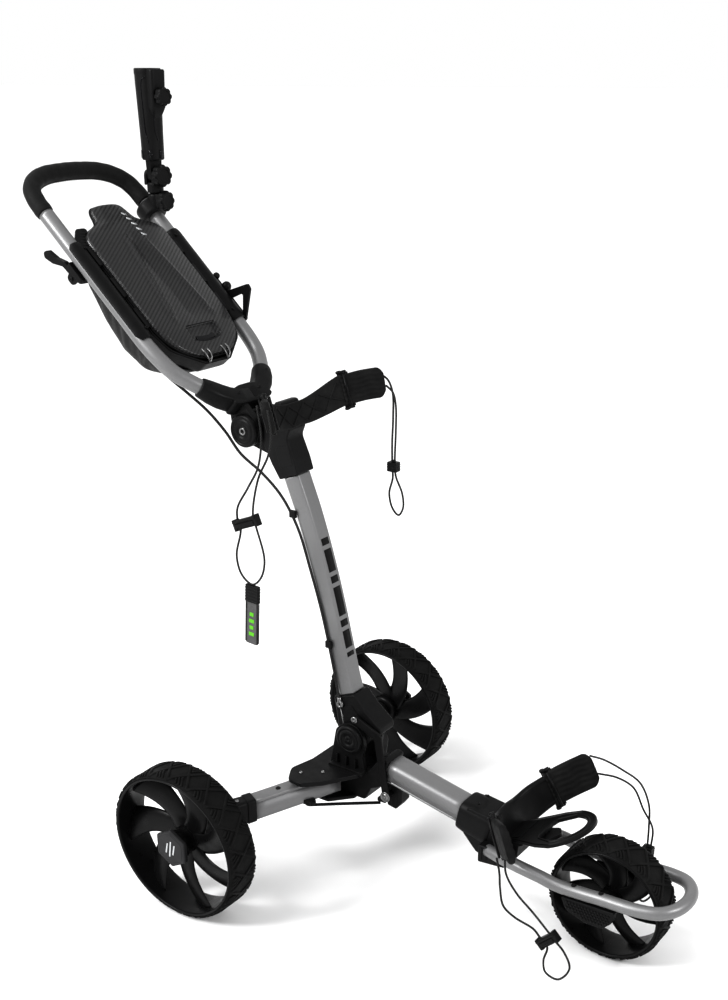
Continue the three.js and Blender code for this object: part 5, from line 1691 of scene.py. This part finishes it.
def holder_barrel():
    """The umbrella holder: a flared tube with a rolled lip and a bore."""
    height = HOLDER_TOP - HOLDER_FOOT
    return lathe([
        (AXIS, HOLDER_FOOT), (16.4, HOLDER_FOOT), (17.6, HOLDER_FOOT + 1.5),
        (18.2, HOLDER_FOOT + height * 0.3), (20.2, HOLDER_FOOT + height * 0.8), (20.5, HOLDER_TOP - 9),
        (21, HOLDER_TOP - 7.5),
        (21, HOLDER_TOP - 1), (20, HOLDER_TOP), (16.2, HOLDER_TOP), (15.2, HOLDER_TOP - 1.2),
        (15, HOLDER_FOOT + 12), (AXIS, HOLDER_FOOT + 12),
    ], (0, 0, 0), "z", 72)


def holder_housing():
    """The half-round channel beside the bore's upper part, with its screw boss."""
    rings = []
    for z, reach, half in ((LOCK - 34, 17, 6), (LOCK - 26, 22, 10), (LOCK - 16, 27, 13),
                           (LOCK + 14, 28, 13.5), (HOLDER_TOP - 4, 29, 14), (HOLDER_TOP - 1.5, 28, 13)):
        outline = rounded([(12, -half), (reach, -half), (reach, half), (12, half)],
                          [1, half * 0.45, half * 0.45, 1])
        rings.append([(x, y, z) for x, y in outline])
    boss = turned([(AXIS, 0), (9, 0), (9, 3), (7.6, 5), (AXIS, 5)], (26, 0, LOCK), (1, 0, 0), 32)
    return joined(skin(rings), boss)


def holder_trim():
    """A raised panel line down the barrel, and dark slots near its foot."""
    parts = []
    for turn, low in ((-70, HOLDER_FOOT + 26), (-20, HOLDER_FOOT + 30), (110, HOLDER_FOOT + 26)):
        a = math.radians(turn)
        line = [(r * math.cos(a + b), r * math.sin(a + b), z) for r, z, b in (
            (18.5, low, 0.25), (19, low + 14, 0.06), (19.4, low + 40, 0), (20.3, HOLDER_TOP - 22, 0),
            (20.5, HOLDER_TOP - 15, 0.1), (20.5, HOLDER_TOP - 13, 0.35))]
        parts.append(tube(smooth_path(line, 30), 0.9, 8))
    for turn in (-110, -50, 10, 130, 190):
        a = math.radians(turn)
        centre = np.array([17.9 * math.cos(a), 17.9 * math.sin(a), HOLDER_FOOT + 9])
        out = np.array([math.cos(a), math.sin(a), 0])
        side = np.array([-math.sin(a), math.cos(a), 0])
        oblong = rounded([(-3.5, -6), (3.5, -6), (3.5, 6), (-3.5, 6)], 1.5)
        parts.append(skin([[centre + side * u + np.array([0, 0, w]) + out * lift for u, w in oblong]
                           for lift in (-0.8, 0.6)]))
    return joined(*parts)


umbrella_piece("umbrella_fork", joined(
    turned([(AXIS, 0), (12, 0), (13, 1.4), (13, 14), (11, 16), (AXIS, 16)], (0, 0, CLAMP_SEAT + 0.5),
           UP, 40),
    fork_ear(-13, -6.5), fork_ear(6.5, 13)), base_plastic, "umbrella_base", "black_plastic",
    ["umbrella_base"], bevel=1.2)
umbrella_piece("umbrella_holder", joined(holder_barrel(), holder_housing(), holder_tongue()),
               base_plastic, "umbrella_tube", "black_plastic", ["umbrella_tube"], bevel=0.8)
umbrella_piece("umbrella_holder_trim", holder_trim(), gloss, "umbrella_tube", "black_plastic")


def knob(radius, depth, place, shank_ends, shank_radius):
    """A fluted knob that faces forward, on a shank between two levels of X."""
    shank = [(x, *place[1:]) for x in shank_ends]
    return joined(fluted(radius, depth, place), tube(shank, shank_radius))


umbrella_piece("tilt_knob_head", knob(17, 13, (13.4, 0, KNUCKLE), (-13, 14), 4), plastic, "tilt_knob",
               "black_plastic", ["tilt_knob"], bevel=0.5)
piece("clamp_knob_head", knob(16, 12, (ux + 15, uy, CLAMP_SEAT - 11), (ux + 5, ux + 16), 3), plastic,
      "clamp_knob", "black_plastic", ["clamp_knob"], bevel=0.5)
umbrella_piece("umbrella_lock_knob_head", knob(14, 12, (31, 0, LOCK), (16, 32), 3), plastic,
               "umbrella_lock_knob", "black_plastic", ["umbrella_lock_knob"], bevel=0.5)


# ---------- floor and lights ----------
def pale_floor():
    n = Nodes("floor")
    return n.finish(n.mix(n.noise(3, 2, 0.5), grey(0.80), grey(0.83)), 0.6)


def make_floor():
    mesh = bpy.data.meshes.new("floor")
    mesh.from_pydata([(-60, -60, 0), (60, -60, 0), (60, 60, 0), (-60, 60, 0)], [], [(0, 1, 2, 3)])
    mesh.materials.append(pale_floor())
    floor = bpy.data.objects.new("floor", mesh)
    bpy.context.collection.objects.link(floor)


def area_light(name, place, aim, size, power):
    data = bpy.data.lights.new(name, "AREA")
    data.shape = "DISK"
    data.size = size
    data.energy = power
    light = bpy.data.objects.new(name, data)
    bpy.context.collection.objects.link(light)
    light.location = place
    light.rotation_euler = (Vector(aim) - Vector(place)).to_track_quat("-Z", "Y").to_euler()


def sun_light(name, toward, strength, angle):
    data = bpy.data.lights.new(name, "SUN")
    data.energy = strength
    data.angle = math.radians(angle)
    light = bpy.data.objects.new(name, data)
    bpy.context.collection.objects.link(light)
    light.rotation_euler = Vector(toward).to_track_quat("-Z", "Y").to_euler()


make_floor()
sun_light("sky", (0.4, 0.6, -1), 1.7, 30)
area_light("left", (-1.6, -2.6, 2.2), (0, 0, 0.5), 0.9, 95)
area_light("right", (2.6, 0.2, 1.9), (0, 0, 0.5), 0.6, 40)
world = bpy.data.worlds.new("studio")
world.use_nodes = True
world.node_tree.nodes["Background"].inputs["Color"].default_value = (1, 1, 1, 1)
world.node_tree.nodes["Background"].inputs["Strength"].default_value = 1.0
bpy.context.scene.world = world
bpy.context.scene.view_settings.view_transform = "Standard"
bpy.context.scene.view_settings.gamma = 0.8
